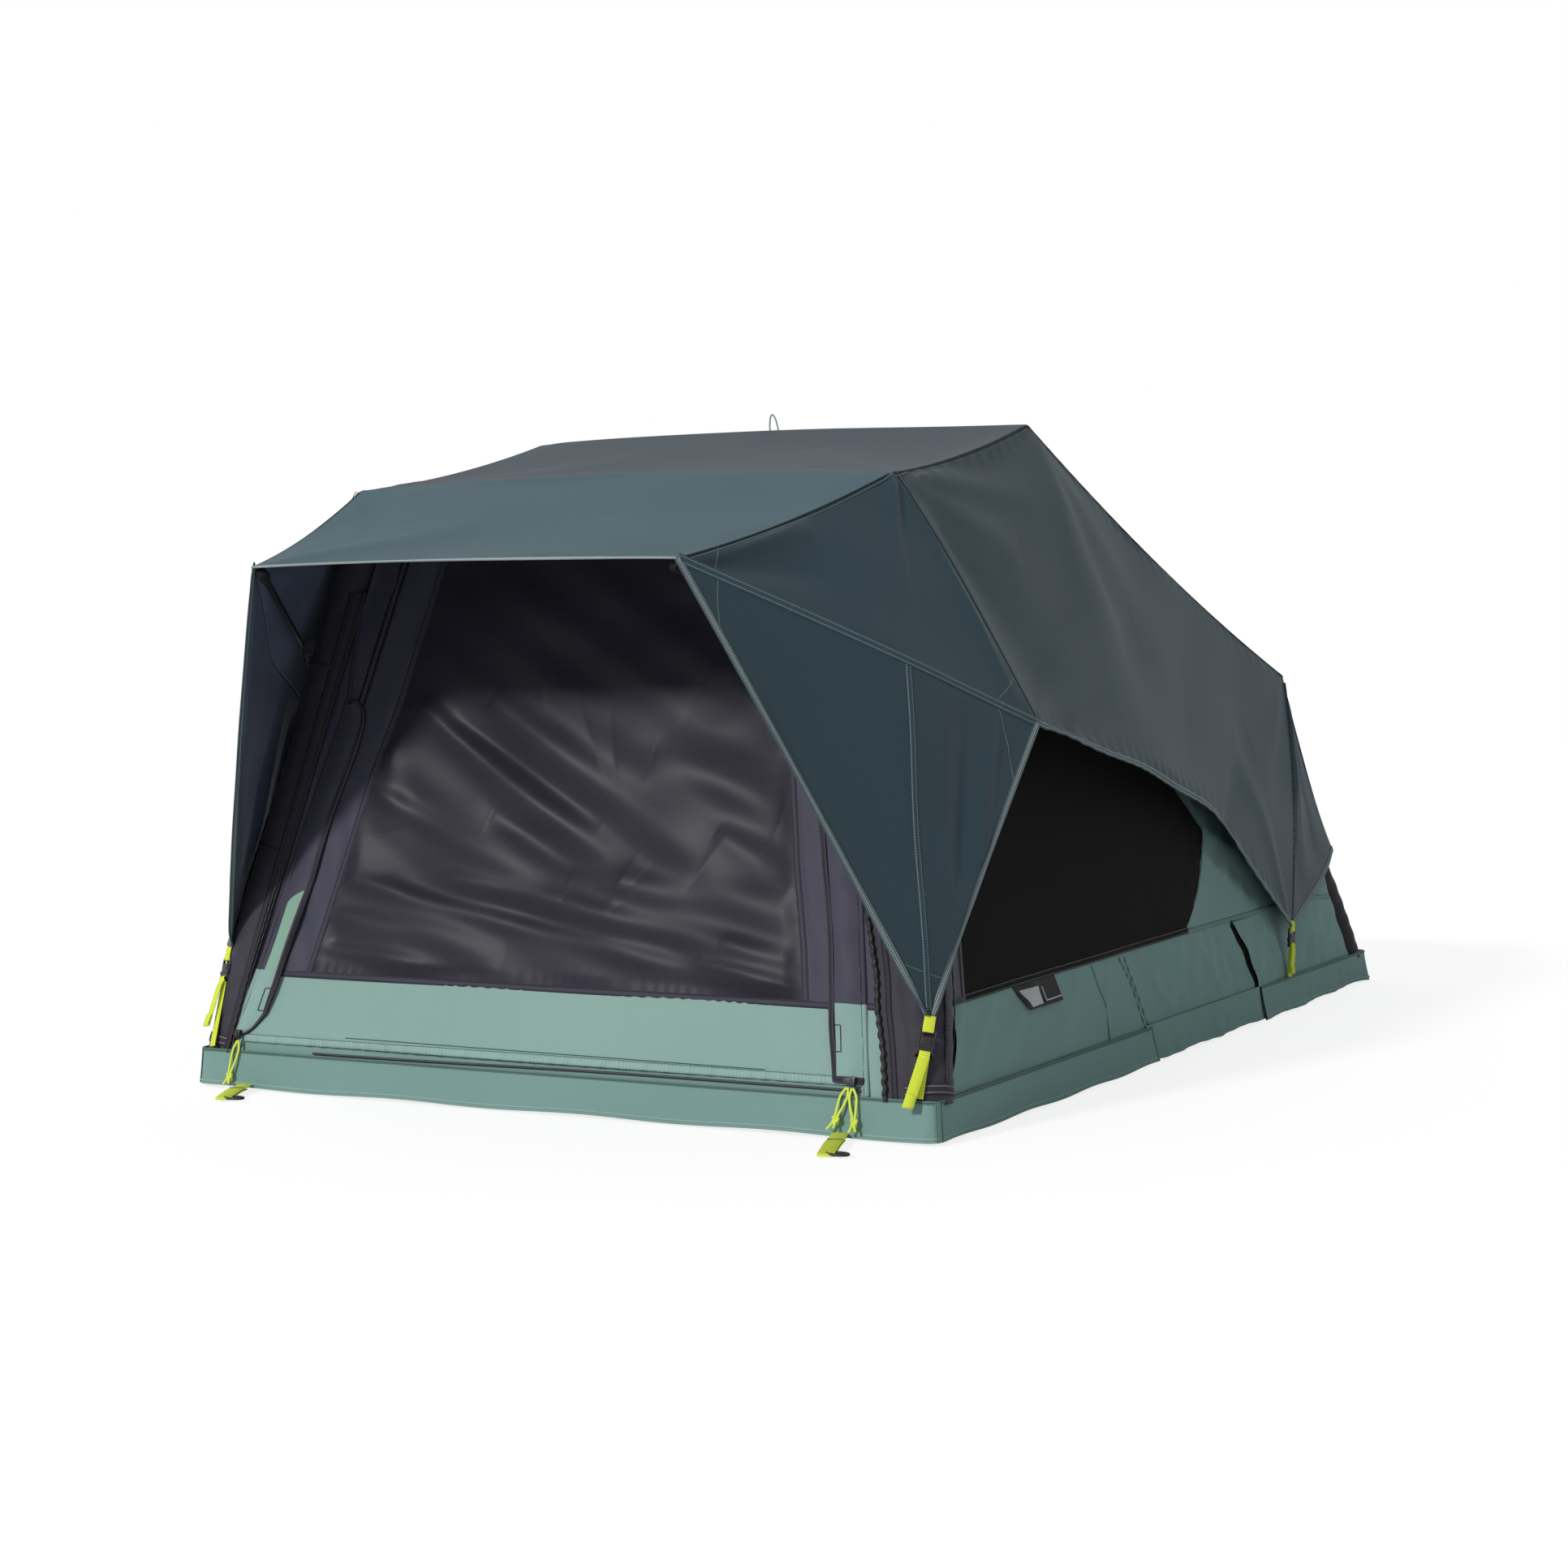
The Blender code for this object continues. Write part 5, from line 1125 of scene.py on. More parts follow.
def make_door():
    """The door panel: satin middle, ripstop sides, mint foot with its piped hem, all on the door's hinge."""
    front = (0, -1, 0)
    centre = Cloth(front_panel(lambda z: panel_x("left", z), lambda z: panel_x("right", z), DOOR_TOP, BAND_Z),
                   toward=front,
                   extra=across_door)
    made = door_piece("door_middle", centre, (170, 130), ("door", "dark"))
    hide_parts("door_panel")
    for side, sign in SIDES.items():
        strip_cloth = Cloth(front_panel(lambda z: panel_x(side, z), lambda z: door_x(side, z), DOOR_TOP,
                                        BAND_Z),
                            toward=front, extra=beside_door)
        door_piece(f"door_border_{side}", strip_cloth, (20, 110), ("rip", "dark"))
        rows = strip_cloth.line([(0.0, 0.0), (0.0, 1.0)], 110)
        door_tape(f"door_seam_{side}", rows, 0.011, "rip_seam", shift=-0.003 * sign, rise=0.0005)
    foot = Cloth(front_panel(lambda z: door_x("left", z), lambda z: door_x("right", z), 0.190, 0.0765),
                 toward=front,
                 extra=foot_relief)
    door_piece("door_foot", foot, (150, 24), ("mint", "green"))
    door_tape("door_foot_seam", foot.line([(0, 0.0), (1, 0.0)], 120), 0.011, "rip_seam", shift=-0.004,
              rise=0.0005,
              wave=0.0003)
    door_tape("door_hem", foot.line([(0, 0.955), (1, 0.955)], 200), 0.013, "door_hem", rise=0.0018,
              wave=0.0008)
    door_tape("door_hem_line", foot.line([(0.18, 0.868), (0.86, 0.888)], 100), 0.0015, "green_seam",
              rise=0.0003)
    for side, sign in SIDES.items():
        tape = [on_front(door_x(side, z) - 0.006 * sign, z) for z in np.linspace(0.090, 0.852, 90)]
        line = (np.array(tape), np.repeat(FRONT_OUT[None], 90, 0))
        door_tape(f"door_zip_{side}", line, 0.007, "zip", lift=0.0006, rise=0.0006)


# where the rain flaps' free and sewn edges lie on each side, as (height, distance from the middle)
FLAP_EDGE = {
    "left": [(0.084, 0.572), (0.096, 0.552), (0.122, 0.529), (0.160, 0.517), (0.202, 0.506), (0.341, 0.470),
             (0.433, 0.452), (0.540, 0.420), (0.585, 0.412), (0.610, 0.417), (0.624, 0.432)],
    "right": [(0.080, 0.486), (0.163, 0.472), (0.191, 0.468), (0.286, 0.456), (0.370, 0.440), (0.442, 0.423),
              (0.540, 0.402), (0.585, 0.395), (0.610, 0.401), (0.624, 0.416)],
}
FLAP_SEWN = {"left": [(0.08, 0.588), (0.193, 0.553), (0.305, 0.526), (0.63, 0.446)],
             "right": [(0.064, 0.536), (0.204, 0.516), (0.372, 0.491), (0.63, 0.440)]}
FLAP_FOOT = {"left": 0.086, "right": 0.080}


def make_front_wall():
    """The cloth round the door: ripstop strips over a mint foot, with the two rain flaps."""
    front = (0, -1, 0)
    for side, sign in SIDES.items():
        upper = Cloth(front_panel(lambda z: door_x(side, z), lambda z: sign * front_half(z), 0.872, 0.190),
                      toward=front, extra=beside_door)
        made = dress(sew(f"front_strip_{side}", upper, (16, 100), ("rip", "dark")), "near")
        declare(made)
        if side == "left":
            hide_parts("front_wall")
        lower = Cloth(front_panel(lambda z: door_x(side, z), lambda z: sign * front_half(z), 0.190, 0.0556),
                      toward=front, extra=beside_door)
        made = dress(sew(f"front_foot_{side}", lower, (16, 24), ("mint", "green")), "near")
        declare(made)
        make_flap(side, sign)
        normals = np.repeat(FRONT_OUT[None], 90, 0)
        for part, low, high, look in (("strip", 0.190, 0.80, "rip_seam"),
                                      ("foot", 0.062, 0.190, "mint_seam")):
            line = np.array([on_front(sign * (table(z, FLAP_SEWN[side]) + 0.003),
                                      z) for z in np.linspace(low, high, 90)])
            dress(strip(f"front_{part}_seam_{side}", line, normals, 0.0095, look, lift=0.0022, rise=0.0004),
                  "near")
        line = np.array([on_front(door_x(side, z) + 0.006 * sign, z) for z in np.linspace(0.100, 0.855, 90)])
        dress(strip(f"front_zip_{side}", line, normals, 0.007, "zip", lift=0.0006), "near")
        ticks = [on_front(x, 0.1905) for x in np.linspace(door_x(side, 0.19), sign * front_half(0.19), 12)]
        dress(strip(f"front_band_{side}", np.array(ticks), np.repeat(FRONT_OUT[None], 12, 0), 0.010,
                    "rip_seam", shift=-0.003 * sign, lift=0.0006, rise=0.0004), "near")
    head = Cloth(front_panel(lambda z: -front_half(z), front_half, 0.872, 0.8555), toward=front)
    dress(sew("front_head", head, (60, 4), ("rip", "dark")), "near")
    sill = Cloth(front_panel(lambda z: door_x("left", 0.074), lambda z: door_x("right", 0.074), 0.0750,
                             0.0556, -0.002),
                 toward=front)
    dress(sew("front_sill", sill, (90, 5), ("green", "green")), "near")
    # the zip under the door's hem, drawn only along the stretch where the hem casts its thin shadow line:
    # partly the real zip, partly painted shadow
    x = np.linspace(-0.430, 0.530, 160)
    z = 0.0645 + 0.0045 * smoothstep(x, -0.40, 0.20)
    line = on_front(x, z) + FRONT_OUT * 0.0008
    normals = np.repeat(FRONT_OUT[None], len(x), 0)
    dress(strip("bottom_zip_and_painted_shadow", line, normals, 0.0036, "zip", lift=0.0004), "near")


def make_flap(side, sign):
    """A rain flap over the zip, sewn at its outer edge, with a bound free edge and foot."""
    edge, sewn, low = FLAP_EDGE[side], FLAP_SEWN[side], FLAP_FOOT[side]

    def edge_x(z):
        return sign * table(z, edge)

    def sewn_x(z):
        return sign * table(z, sewn)

    def relief(u, v, p):
        bow = 0.004 * np.sin(math.pi * np.clip(u, 0, 1)) + 0.003 * u
        return bow + 0.0010 * ripple(p, 0.07, 12, (1, 1, 0.8))
    parts = {"top": (0.622, 0.190, "rip", "dark", 90), "foot": (0.190, low, "mint", "green", 30)}
    lines = []
    for part, (top, bottom, look, tag, count) in parts.items():
        cloth = Cloth(front_panel(sewn_x, edge_x, top, bottom, 0.0022), toward=(0, -1, 0), extra=relief)
        made = dress(sew(f"rain_flap_{part}_{side}", cloth, (14, count), (look, "dark")), "near")
        declare(made)
        lines.append(cloth)
    hook, foot = lines
    a = hook.line([(0.0, 0.0), (1, 0.0), (1, 1)], 120)
    b = foot.line([(1, 0.0), (1, 1), (0, 1)], 60)
    path = np.concatenate((a[0], b[0][1:]))
    normals = np.concatenate((a[1], b[1][1:]))
    path, normals = even(path, 160), even(np.concatenate((path, normals), 1), 160)[:, 3:]
    dress(strip(f"flap_binding_{side}", path, normals, 0.0105, "dark_tape", wrap=0.0044, shift=0.0030 * sign),
          "near")
    patch = foot.line([(0.98, 0.28), (0.66, 0.28), (0.66, 0.62), (0.98, 0.62)], 60)
    dress(strip(f"flap_patch_{side}", *patch, 0.0014, "dark_seam", lift=0.0003), "near")
    if side == "left":
        def inner_x(z):
            return edge_x(z) - 0.0075

        def outer_x(z):
            return edge_x(z) - 0.0085 - 0.023 * (1 - smoothstep(z, 0.296, 0.318)) ** 0.5

        def on_flap(u, v, p):
            share = (p[..., 0] - sewn_x(p[..., 2])) / (edge_x(p[..., 2]) - sewn_x(p[..., 2]))
            return relief(share, v, p) + 0.0007
        mark = Cloth(front_panel(outer_x, inner_x, 0.318, 0.190, 0.0022), toward=(0, -1, 0), extra=on_flap)
        dress(sew("flap_stripe_left", mark, (8, 50), ("flap_mint", "flap_mint"), 0.0005), "near")


# Beams and sleeves

HOOPS = {
    "near": ((*BEAM_FOOT, FOOT_Z), (0.468, 0.2313, 0.9278), 0.100),
    "ridge": ((0.592, 1.000, 0.0556), (0.403, 0.7839, 1.0433), 0.100),
    "far": ((0.597, 2.300, 0.0556), (0.488, 2.1001, 0.6296), 0.100),
}


def hoop_line(foot, corner, bend):
    """One leg, the round bend and half of the top of a beam, and the same mirrored."""
    foot, corner = np.asarray(foot, float), np.asarray(corner, float)
    down = (foot - corner) / np.linalg.norm(foot - corner)
    inward = np.array((-1.0, 0, 0))
    angle = math.acos(float(down @ inward))
    reach = bend / math.tan(angle / 2)
    start, end = corner + down * reach, corner + inward * reach
    t = np.linspace(0, 1, 14)[:, None]
    arc = (1 - t) ** 2 * start + 2 * t * (1 - t) * (corner * 0.86 + (start + end) * 0.07) + t ** 2 * end
    half = np.concatenate(((foot + down * 0.022)[None], arc))
    whole = np.concatenate((half, (half * (-1, 1, 1))[::-1]))
    whole[:, 1] += NEAR_Y
    return even(whole, 260)


def sleeve_swell(p, d):
    """How much fuller than its beam the near sleeve is on its outer side, low down."""
    outward, z = 0.896 * np.sign(p[..., 0]) * d[..., 0], p[..., 2]
    front = np.clip(outward - 0.444 * d[..., 1], 0, 1) ** 2
    back = np.clip(outward + 0.444 * d[..., 1], 0, 1) ** 2
    return (0.010 * front * (1 - smoothstep(z, 0.28, 0.55))
            + 0.009 * back * smoothstep(z, 0.06, 0.19) * (1 - smoothstep(z, 0.30, 0.55)))


def far_swell(p, d):
    """The far sleeve fills the corner between the side wall and the end wall."""
    corner = np.clip(0.8 * np.sign(p[..., 0]) * d[..., 0] + 0.6 * d[..., 1], 0, 1) ** 2
    return 0.020 * corner * (1 - smoothstep(p[..., 2], 0.08, 0.30))


SWELLS = {"near": sleeve_swell, "ridge": None, "far": far_swell}
SLEEVE_EDGE = {"left": [(0.056, 0.590), (0.185, 0.568), (0.440, 0.512), (0.800, 0.441)],
               "right": [(0.056, 0.5675), (0.127, 0.5561), (0.186, 0.5411), (0.232, 0.5352), (0.277, 0.5228),
                         (0.328, 0.5086), (0.440, 0.486), (0.800, 0.415)]}


def make_sleeve_flange(side, sign):
    """The sleeve's cloth from its beam to the front wall, with the gathered edge and its stitches."""
    def place(u, v):
        z = 0.800 + (0.0575 - 0.800) * v
        inner = at(sign * table(z, SLEEVE_EDGE[side]), front_y(z) - 0.0036, z)
        rise = z - FOOT_Z
        outer = at(sign * (0.612 - 0.157 * rise), 0.047 + 0.2113 * rise - BEAM_R - 0.0004, z)
        return inner * (1 - u)[..., None] + outer * u[..., None]
    cloth = Cloth(place, toward=(0, -1, 0), extra=lambda u, v, p: 0.0016 * np.sin(math.pi * np.clip(u, 0, 1))
                  + 0.0008 * ripple(p, 0.08, 15, (1, 1, 0.6)) * np.clip(u, 0, 1))
    made = sew(f"sleeve_flange_{side}", cloth, (14, 120), ("sleeve", "dark"))
    dress_beam(made)
    declare(made)
    thick = 0.0040 if side == "right" else 0.0018
    line = cloth.line([(0.0, 0.0), (0.0, 1.0)], 300)[0] + np.array((0.0040 * sign, -0.0022, 0))
    made = tube(f"sleeve_twist_{side}", line, lambda run,
                turn: thick + 0.27 * thick * np.sin(turn - run * 2 * math.pi / 0.017),
                "sleeve_zip", sides=12)
    dress_beam(made)
    made = strip(f"sleeve_stitch_{side}", *cloth.line([(0.42, 0.0), (0.42, 1.0)], 120), 0.0095, "dark_seam",
                 rise=0.0005)
    dress_beam(made)


def make_beams():
    """Padded sleeves round the three beams, with the seams and the hem of the near one."""
    for kind, (foot, corner, bend) in HOOPS.items():
        path = hoop_line(foot, corner, bend)
        total = float(np.linalg.norm(np.diff(path, axis=0), axis=1).sum())

        def radius(run, turn, total=total, seed=len(kind)):
            ends = np.minimum(run, total - run)
            wave = 0.0010 * np.sin(run * 2 * math.pi / 0.19 + 2 * np.cos(turn + seed))
            crease = 0.0007 * np.sin(run * 2 * math.pi / 0.041 + 3 * np.sin(turn * 2 + seed) + 2
                                     * np.sin(run * 11))
            slack = smoothstep(ends, 0.0, 0.05)
            return BEAM_R - 0.0012 + (wave + crease) * slack
        look = "sleeve" if kind == "near" else "beam"
        made = tube(f"{kind}_sleeve", path, radius, look, sides=36, flat_z=FOOT_Z, swell=SWELLS[kind])
        dress_beam(made, kind)
        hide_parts(f"{kind}_air_beam")
    foot, corner = (np.asarray(c, float) for c in HOOPS["near"][:2])
    for side, sign in SIDES.items():
        low, high = at(*(foot * (sign, 1, 1))), at(*(corner * (sign, 1, 1)))
        along = (high - low) / np.linalg.norm(high - low)

        def on_sleeve(direction, start, end):
            d = np.asarray(direction, float)
            d = d - along * (d @ along)
            d /= np.linalg.norm(d)
            steps = np.linspace(start, end, 100)[:, None]
            p, n = low + along * steps, np.repeat(d[None], 100, 0)
            return p + n * (BEAM_R + 0.0005 + sleeve_swell(p, n))[:, None], n
        lines = {
            "outer_zip": ((0.97 * sign, -0.25, 0), 0.010, "sleeve_zip", 0.02, 0.60),
            "outer_piping": ((0.90 * sign, 0.43, 0), 0.008, "dark_seam", 0.02, 0.80),
        }
        for name, (direction, width, look, start, end) in lines.items():
            p, n = on_sleeve(direction, start, end)
            dress_beam(strip(f"sleeve_{name}_{side}", p, n, width, look, rise=0.0009, wave=0.0004))
        make_sleeve_flange(side, sign)
        for k, height in enumerate((0.010, 0.330, 0.640)):
            ring = []
            for turn in np.linspace(0, 2 * math.pi, 48):
                d = np.array((math.cos(turn), math.sin(turn), 0))
                d = d - along * (d @ along)
                d /= np.linalg.norm(d)
                centre = low + along * height
                ring.append((centre + d * (BEAM_R + 0.0004 + float(sleeve_swell(centre, d))), d))
            p, n = (np.array(a) for a in zip(*ring))
            p[:, 2] = np.maximum(p[:, 2], FOOT_Z + 0.0015)
            look, width = (("sleeve_hem", 0.016) if k == 0 else ("dark_seam", 0.005))
            dress_beam(strip(f"sleeve_band_{k}_{side}", p, n, width, look))


def dress_beam(made, kind="near"):
    """Rides on its hoop, with its own copy of its mesh."""
    foot, corner = (at(*place) for place in HOOPS[kind][:2])
    normal = np.cross(corner - foot, (1, 0, 0))
    normal /= np.linalg.norm(normal)
    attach(made, f"{kind}_hoop")
    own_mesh(made)


# Walls, windows and skirts

WALL_FOLDS = [
    ((0.16, 0.192), (0.07, 0.070), 0.010, 0.016, 0.0045),
              ((0.30, 0.192), (0.12, 0.075), 0.014, 0.022, 0.0040),
    ((0.46, 0.192), (0.24, 0.070), 0.014, 0.026, 0.0045),
              ((0.66, 0.192), (0.50, 0.068), 0.014, 0.030, 0.0035),
    ((0.80, 0.190), (0.72, 0.065), 0.012, 0.022, 0.0030),
              ((0.95, 0.190), (1.08, 0.065), 0.010, 0.020, 0.0050),
    ((0.97, 0.185), (1.22, 0.105), 0.010, 0.026, -0.0045),
              ((1.00, 0.195), (1.36, 0.150), 0.010, 0.024, 0.0040),
    ((1.22, 0.195), (1.40, 0.065), 0.010, 0.024, 0.0050),
              ((1.36, 0.195), (1.50, 0.080), 0.010, 0.018, -0.0040),
    ((1.64, 0.210), (1.80, 0.070), 0.012, 0.028, 0.0050),
              ((1.72, 0.200), (2.02, 0.085), 0.014, 0.030, -0.0040),
    ((1.80, 0.160), (2.20, 0.110), 0.012, 0.030, 0.0050),
              ((1.95, 0.220), (2.20, 0.160), 0.012, 0.030, 0.0040),
    ((1.38, 0.340), (1.62, 0.220), 0.010, 0.026, 0.0060),
              ((1.40, 0.390), (1.85, 0.230), 0.012, 0.030, 0.0060),
    ((1.30, 0.470), (1.75, 0.380), 0.020, 0.040, -0.0060),
              ((1.55, 0.300), (1.72, 0.215), 0.010, 0.020, -0.0040),
]


def on_wall(side, y, z, lift=0.0):
    return at(SIDES[side] * (side_x(y, z) + lift), y, z)


def over_sleeve(y, z):
    """How far the side wall's near edge is pushed out by the near sleeve under it."""
    rise = z - FOOT_Z
    off = y - (BEAM_FOOT[1] + BEAM_LEAN[1] * rise)
    fuller = BEAM_R + 0.012 * smoothstep(z, 0.06, 0.15) * (1 - smoothstep(z, 0.30, 0.55)) + 0.003
    sleeve = BEAM_FOOT[0] - BEAM_LEAN[0] * rise + np.sqrt(np.maximum(fuller ** 2 - off ** 2, 0))
    return np.maximum(sleeve - side_x(y, z), 0) * (np.abs(off) < fuller)


def wall_relief(side):
    lines = [(on_wall(side, *a), on_wall(side, *b), w0, w1, h) for a, b, w0, w1, h in WALL_FOLDS]

    def relief(u, v, p):
        z = p[..., 2]
        y = p[..., 1] - NEAR_Y
        live = smoothstep(z, 0.0556, 0.075) * smoothstep(y, 0.05, 0.12) * (1 - smoothstep(y, 2.22, 2.30))
        pane = smoothstep(z, 0.185, 0.215) * (1 - smoothstep(y, 1.20, 1.48))
        live = live * (1 - 0.93 * pane)
        small = 0.0011 * ripple(p, 0.075, 33, (1, 1, 1.3)) * smoothstep(y, 0.85, 1.15)
        return live * (fold_height(p, lines) + 0.0022 * ripple(p, 0.30, 31) + small) + over_sleeve(y, z)
    return relief


def wall_cloth(side, edges, lift=0.0):
    """Part of a side wall between four lines of (y, z)."""
    flat = coons(*edges)

    def place(u, v):
        p = flat(u, v)
        return on_wall(side, p[..., 1], p[..., 2], lift)
    return Cloth(place, toward=(SIDES[side], 0, 0), extra=wall_relief(side))


def yz(points, smooth=False, count=81):
    rows = [(0, y, z) for y, z in points]
    return spline(rows, count) if smooth else chain(rows, None, count)


def wall_tape(name, side, cloth_relief, points, width, look, lift=0.0, smooth=False, **how):
    """Tape on a side wall through points of (y, z)."""
    rows = yz(points, smooth, 120)
    place = Cloth(lambda u,
                  v: on_wall(side, read(rows, u)[..., 1], read(rows, u)[..., 2] - 0.02 * (v - 0.5), lift),
                  toward=(SIDES[side], 0, 0), extra=cloth_relief)
    u = np.linspace(0, 1, 120)
    line = place.place(u, np.full(120, 0.5))
    e = 0.003
    y, z = read(rows, u)[:, 1], read(rows, u)[:, 2]
    dy = on_wall(side, y + e, z) - on_wall(side, y - e, z)
    dz = on_wall(side, y, z + e) - on_wall(side, y, z - e)
    normals = np.cross(dy, dz) * SIDES[side]
    normals /= np.linalg.norm(normals, axis=1, keepdims=True)
    return taped(name, (line, normals), width, look, slot="green", **how)


def make_walls():
    for side in SIDES:
        relief = wall_relief(side)
        near = yz([(0.252, 0.870), (0.122, 0.200), (0.1130, 0.1700), (0.0900, 0.1270), (0.0560, 0.0700),
                   (0.0490, 0.0556)])
        far = yz([(2.080, 0.575), (2.262, 0.0556)])
        top = yz([(0.252, 0.870), (0.787, 0.970), (1.1925, 0.900), (2.080, 0.575)])
        foot = yz([(0.0490, 0.0556), (2.262, 0.0556)])
        wall = wall_cloth(side, (top, foot, near, far))
        parts = fold_split(wall)
        for leaf in ("near", "far"):
            made = dress(sew(f"side_wall_{leaf}_{side}", wall, (150, 80), ("green", "green"),
                             remap=parts[leaf]), leaf)
            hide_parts(f"wall_{leaf}_{side}")
            declare(made)
        # the window's sill, far edge and hidden head
        sill = yz([(0.1700, 0.1905), (0.377, 0.194), (0.787, 0.198), (1.205, 0.2025)])
        head = yz([(0.288, 0.640), (0.450, 0.690), (0.900, 0.665), (1.080, 0.595), (1.186, 0.531)], True)
        rim = [(1.186, 0.531), (1.300, 0.4565), (1.3473, 0.424), (1.4027, 0.3877), (1.4235, 0.3737),
               (1.4100, 0.3540),
               (1.3900, 0.3300), (1.3600, 0.2985), (1.3300, 0.2720), (1.2850, 0.2410), (1.2450, 0.2190),
               (1.205, 0.2025)]
        back = yz(rim)
        front = yz([(0.288, 0.640), (0.1700, 0.1905)])
        pane = wall_cloth(side, (head, sill, front, back), 0.0016)
        parts = fold_split(pane)
        for leaf in ("near", "far"):
            made = dress(sew(f"window_blind_{leaf}_{side}", pane, (110 if leaf == "near" else 24, 50),
                             ("window", "window"), 0.0008, remap=parts[leaf]), leaf)
            declare(made)
            if leaf == "near":
                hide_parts(f"window_{side}")
        wall_tape(f"window_sill_{side}", side, relief,
                  [(0.160, 0.1905), (0.377, 0.194), (0.787, 0.198), (1.22, 0.2035)],
                  0.012, "window_tape", 0.0020, shift=0.0)
        wall_tape(f"window_rim_{side}", side, relief, rim, 0.005, "green_seam", 0.0014)
        wall_tape(f"window_gore_{side}", side, relief, [(1.385, 0.445), (1.412, 0.405), (1.4245, 0.376)],
                  0.003,
                  "green_seam", 0.0004)
        wall_tape(f"wall_seam_{side}", side, relief,
                  [(1.205, 0.2000), (1.458, 0.201), (1.758, 0.204), (2.062, 0.200),
                  (2.200, 0.194)], 0.009, "green_double", 0.0004)
        jamb = Cloth(on_wall_patch(side, [(0.236, 0.640), (0.284, 0.640), (0.166, 0.192), (0.119, 0.190)]),
                     toward=(SIDES[side], 0, 0), extra=lambda u, v, p: relief(u, v, p) + 0.0020)
        dress(sew(f"window_jamb_{side}", jamb, (12, 60), ("rip", "dark"), 0.0006), "near")
        wall_tape(f"window_jamb_seam_{side}", side, relief, [(0.163, 0.192), (0.281, 0.640)], 0.010,
                  "rip_seam", 0.0026)
        wall_tape(f"window_jamb_foot_{side}", side, relief, [(0.121, 0.1885), (0.166, 0.1895)], 0.008,
                  "dark_tape", 0.0028)
        wall_tape(f"wall_dart_{side}", side, relief,
                  [(0.711, 0.188), (0.728, 0.155), (0.745, 0.118), (0.735, 0.061)],
                  0.003, "green_seam", 0.0002, smooth=True)
        for k, rows in enumerate(([(0.857, 0.187), (0.894, 0.143), (0.922, 0.063)],
                                  [(0.886, 0.185), (0.915, 0.125), (0.940, 0.060)])):
            wall_tape(f"gusset_seam_{k}_{side}", side, relief, rows, 0.006, "green_double", 0.0004,
                      smooth=True,
                      wave=0.0012)
        make_pleat(side, relief)
        make_sewn_tab(side, relief)


def on_wall_patch(side, corners):
    """A four-cornered piece of the side wall: its corners as (y, z), in order round it."""
    (y0, z0), (y1, z1), (y2, z2), (y3, z3) = corners

    def place(u, v):
        y = (y0 * (1 - u) + y1 * u) * (1 - v) + (y3 * (1 - u) + y2 * u) * v
        z = (z0 * (1 - u) + z1 * u) * (1 - v) + (z3 * (1 - u) + z2 * u) * v
        return on_wall(side, y, z)
    return place


def make_sewn_tab(side, relief):
    """A slanted woven tab sewn in under the window's sill, with a bare field and a bare frame."""
    def lifted(lift):
        return lambda u, v, p: relief(u, v, p) + lift + 0.0050 * np.clip((0.189 - p[..., 2]) / 0.041, 0, 1)
    pieces = {"sewn_tab": ([(0.360, 0.188), (0.541, 0.190), (0.544, 0.148), (0.395, 0.147)], 0.0014,
                           "pocket"),
              "sewn_tab_field": ([(0.378, 0.1795), (0.457, 0.1795), (0.458, 0.1515), (0.407, 0.1505)], 0.0022,
                                 "pale_patch")}
    for name, (corners, lift, look) in pieces.items():
        cloth = Cloth(on_wall_patch(side, corners), toward=(SIDES[side], 0, 0), extra=lifted(lift))
        dress(sew(f"{name}_{side}", cloth, (24, 8), (look, look), 0.0009), "near")
    wall_tape(f"sewn_tab_frame_{side}", side, lifted(0.0040),
              [(0.467, 0.1770), (0.532, 0.1780), (0.535, 0.1560),
              (0.469, 0.1550), (0.467, 0.1770)], 0.0022, "pale_patch")


def make_pleat(side, relief):
    """The pleat that closes the gusset: a raised edge of cloth over a black strip of painted shade in the
    gap.
    """
    crest = [(1.488, 0.195), (1.518, 0.163), (1.540, 0.134), (1.559, 0.097), (1.5735, 0.060)]
    # painted shade: a strip of black blackout cloth along the pleat's edge stands for the shade in the gap
    # under it
    wall_tape(f"pleat_gap_{side}", side, relief, crest, 0.016, "window", 0.0012, smooth=True)
    left = yz(crest, True)
    right = yz([(y + 0.26 - 0.5 * (z - 0.06), z) for y, z in crest], True)
    top = yz([crest[0], (crest[0][0] + 0.26 - 0.5 * 0.136, crest[0][1])])
    foot = yz([crest[-1], (crest[-1][0] + 0.26, crest[-1][1])])

    def relief_raised(u, v, p):
        roll = 0.008 * (1 - smoothstep(u, 0.0, 0.75)) * (0.55 + 0.45 * np.sin(math.pi * np.clip(v, 0, 1)))
        return relief(u, v, p) + 0.0006 + roll
    flat = coons(top, foot, left, right)
    cloth = Cloth(lambda u, v: on_wall(side, flat(u, v)[..., 1], flat(u, v)[..., 2]),
                  toward=(SIDES[side], 0, 0),
                  extra=relief_raised)
    made = dress(sew(f"gusset_pleat_{side}", cloth, (50, 30), ("green", "green")), "far")
    declare(made)


def rounded_path(points, radius, count):
    """A flat path through points with its inner corners rounded."""
    points = [np.asarray(p, float) for p in points]
    out = [points[0][None]]
    for before, corner, after in zip(points, points[1:], points[2:]):
        a = corner + (before - corner) / np.linalg.norm(before - corner) * radius
        b = corner + (after - corner) / np.linalg.norm(after - corner) * radius
        t = np.linspace(0, 1, 12)[:, None]
        out.append((1 - t) ** 2 * a + 2 * t * (1 - t) * corner + t ** 2 * b)
    out.append(points[-1][None])
    return even(np.concatenate(out), count)


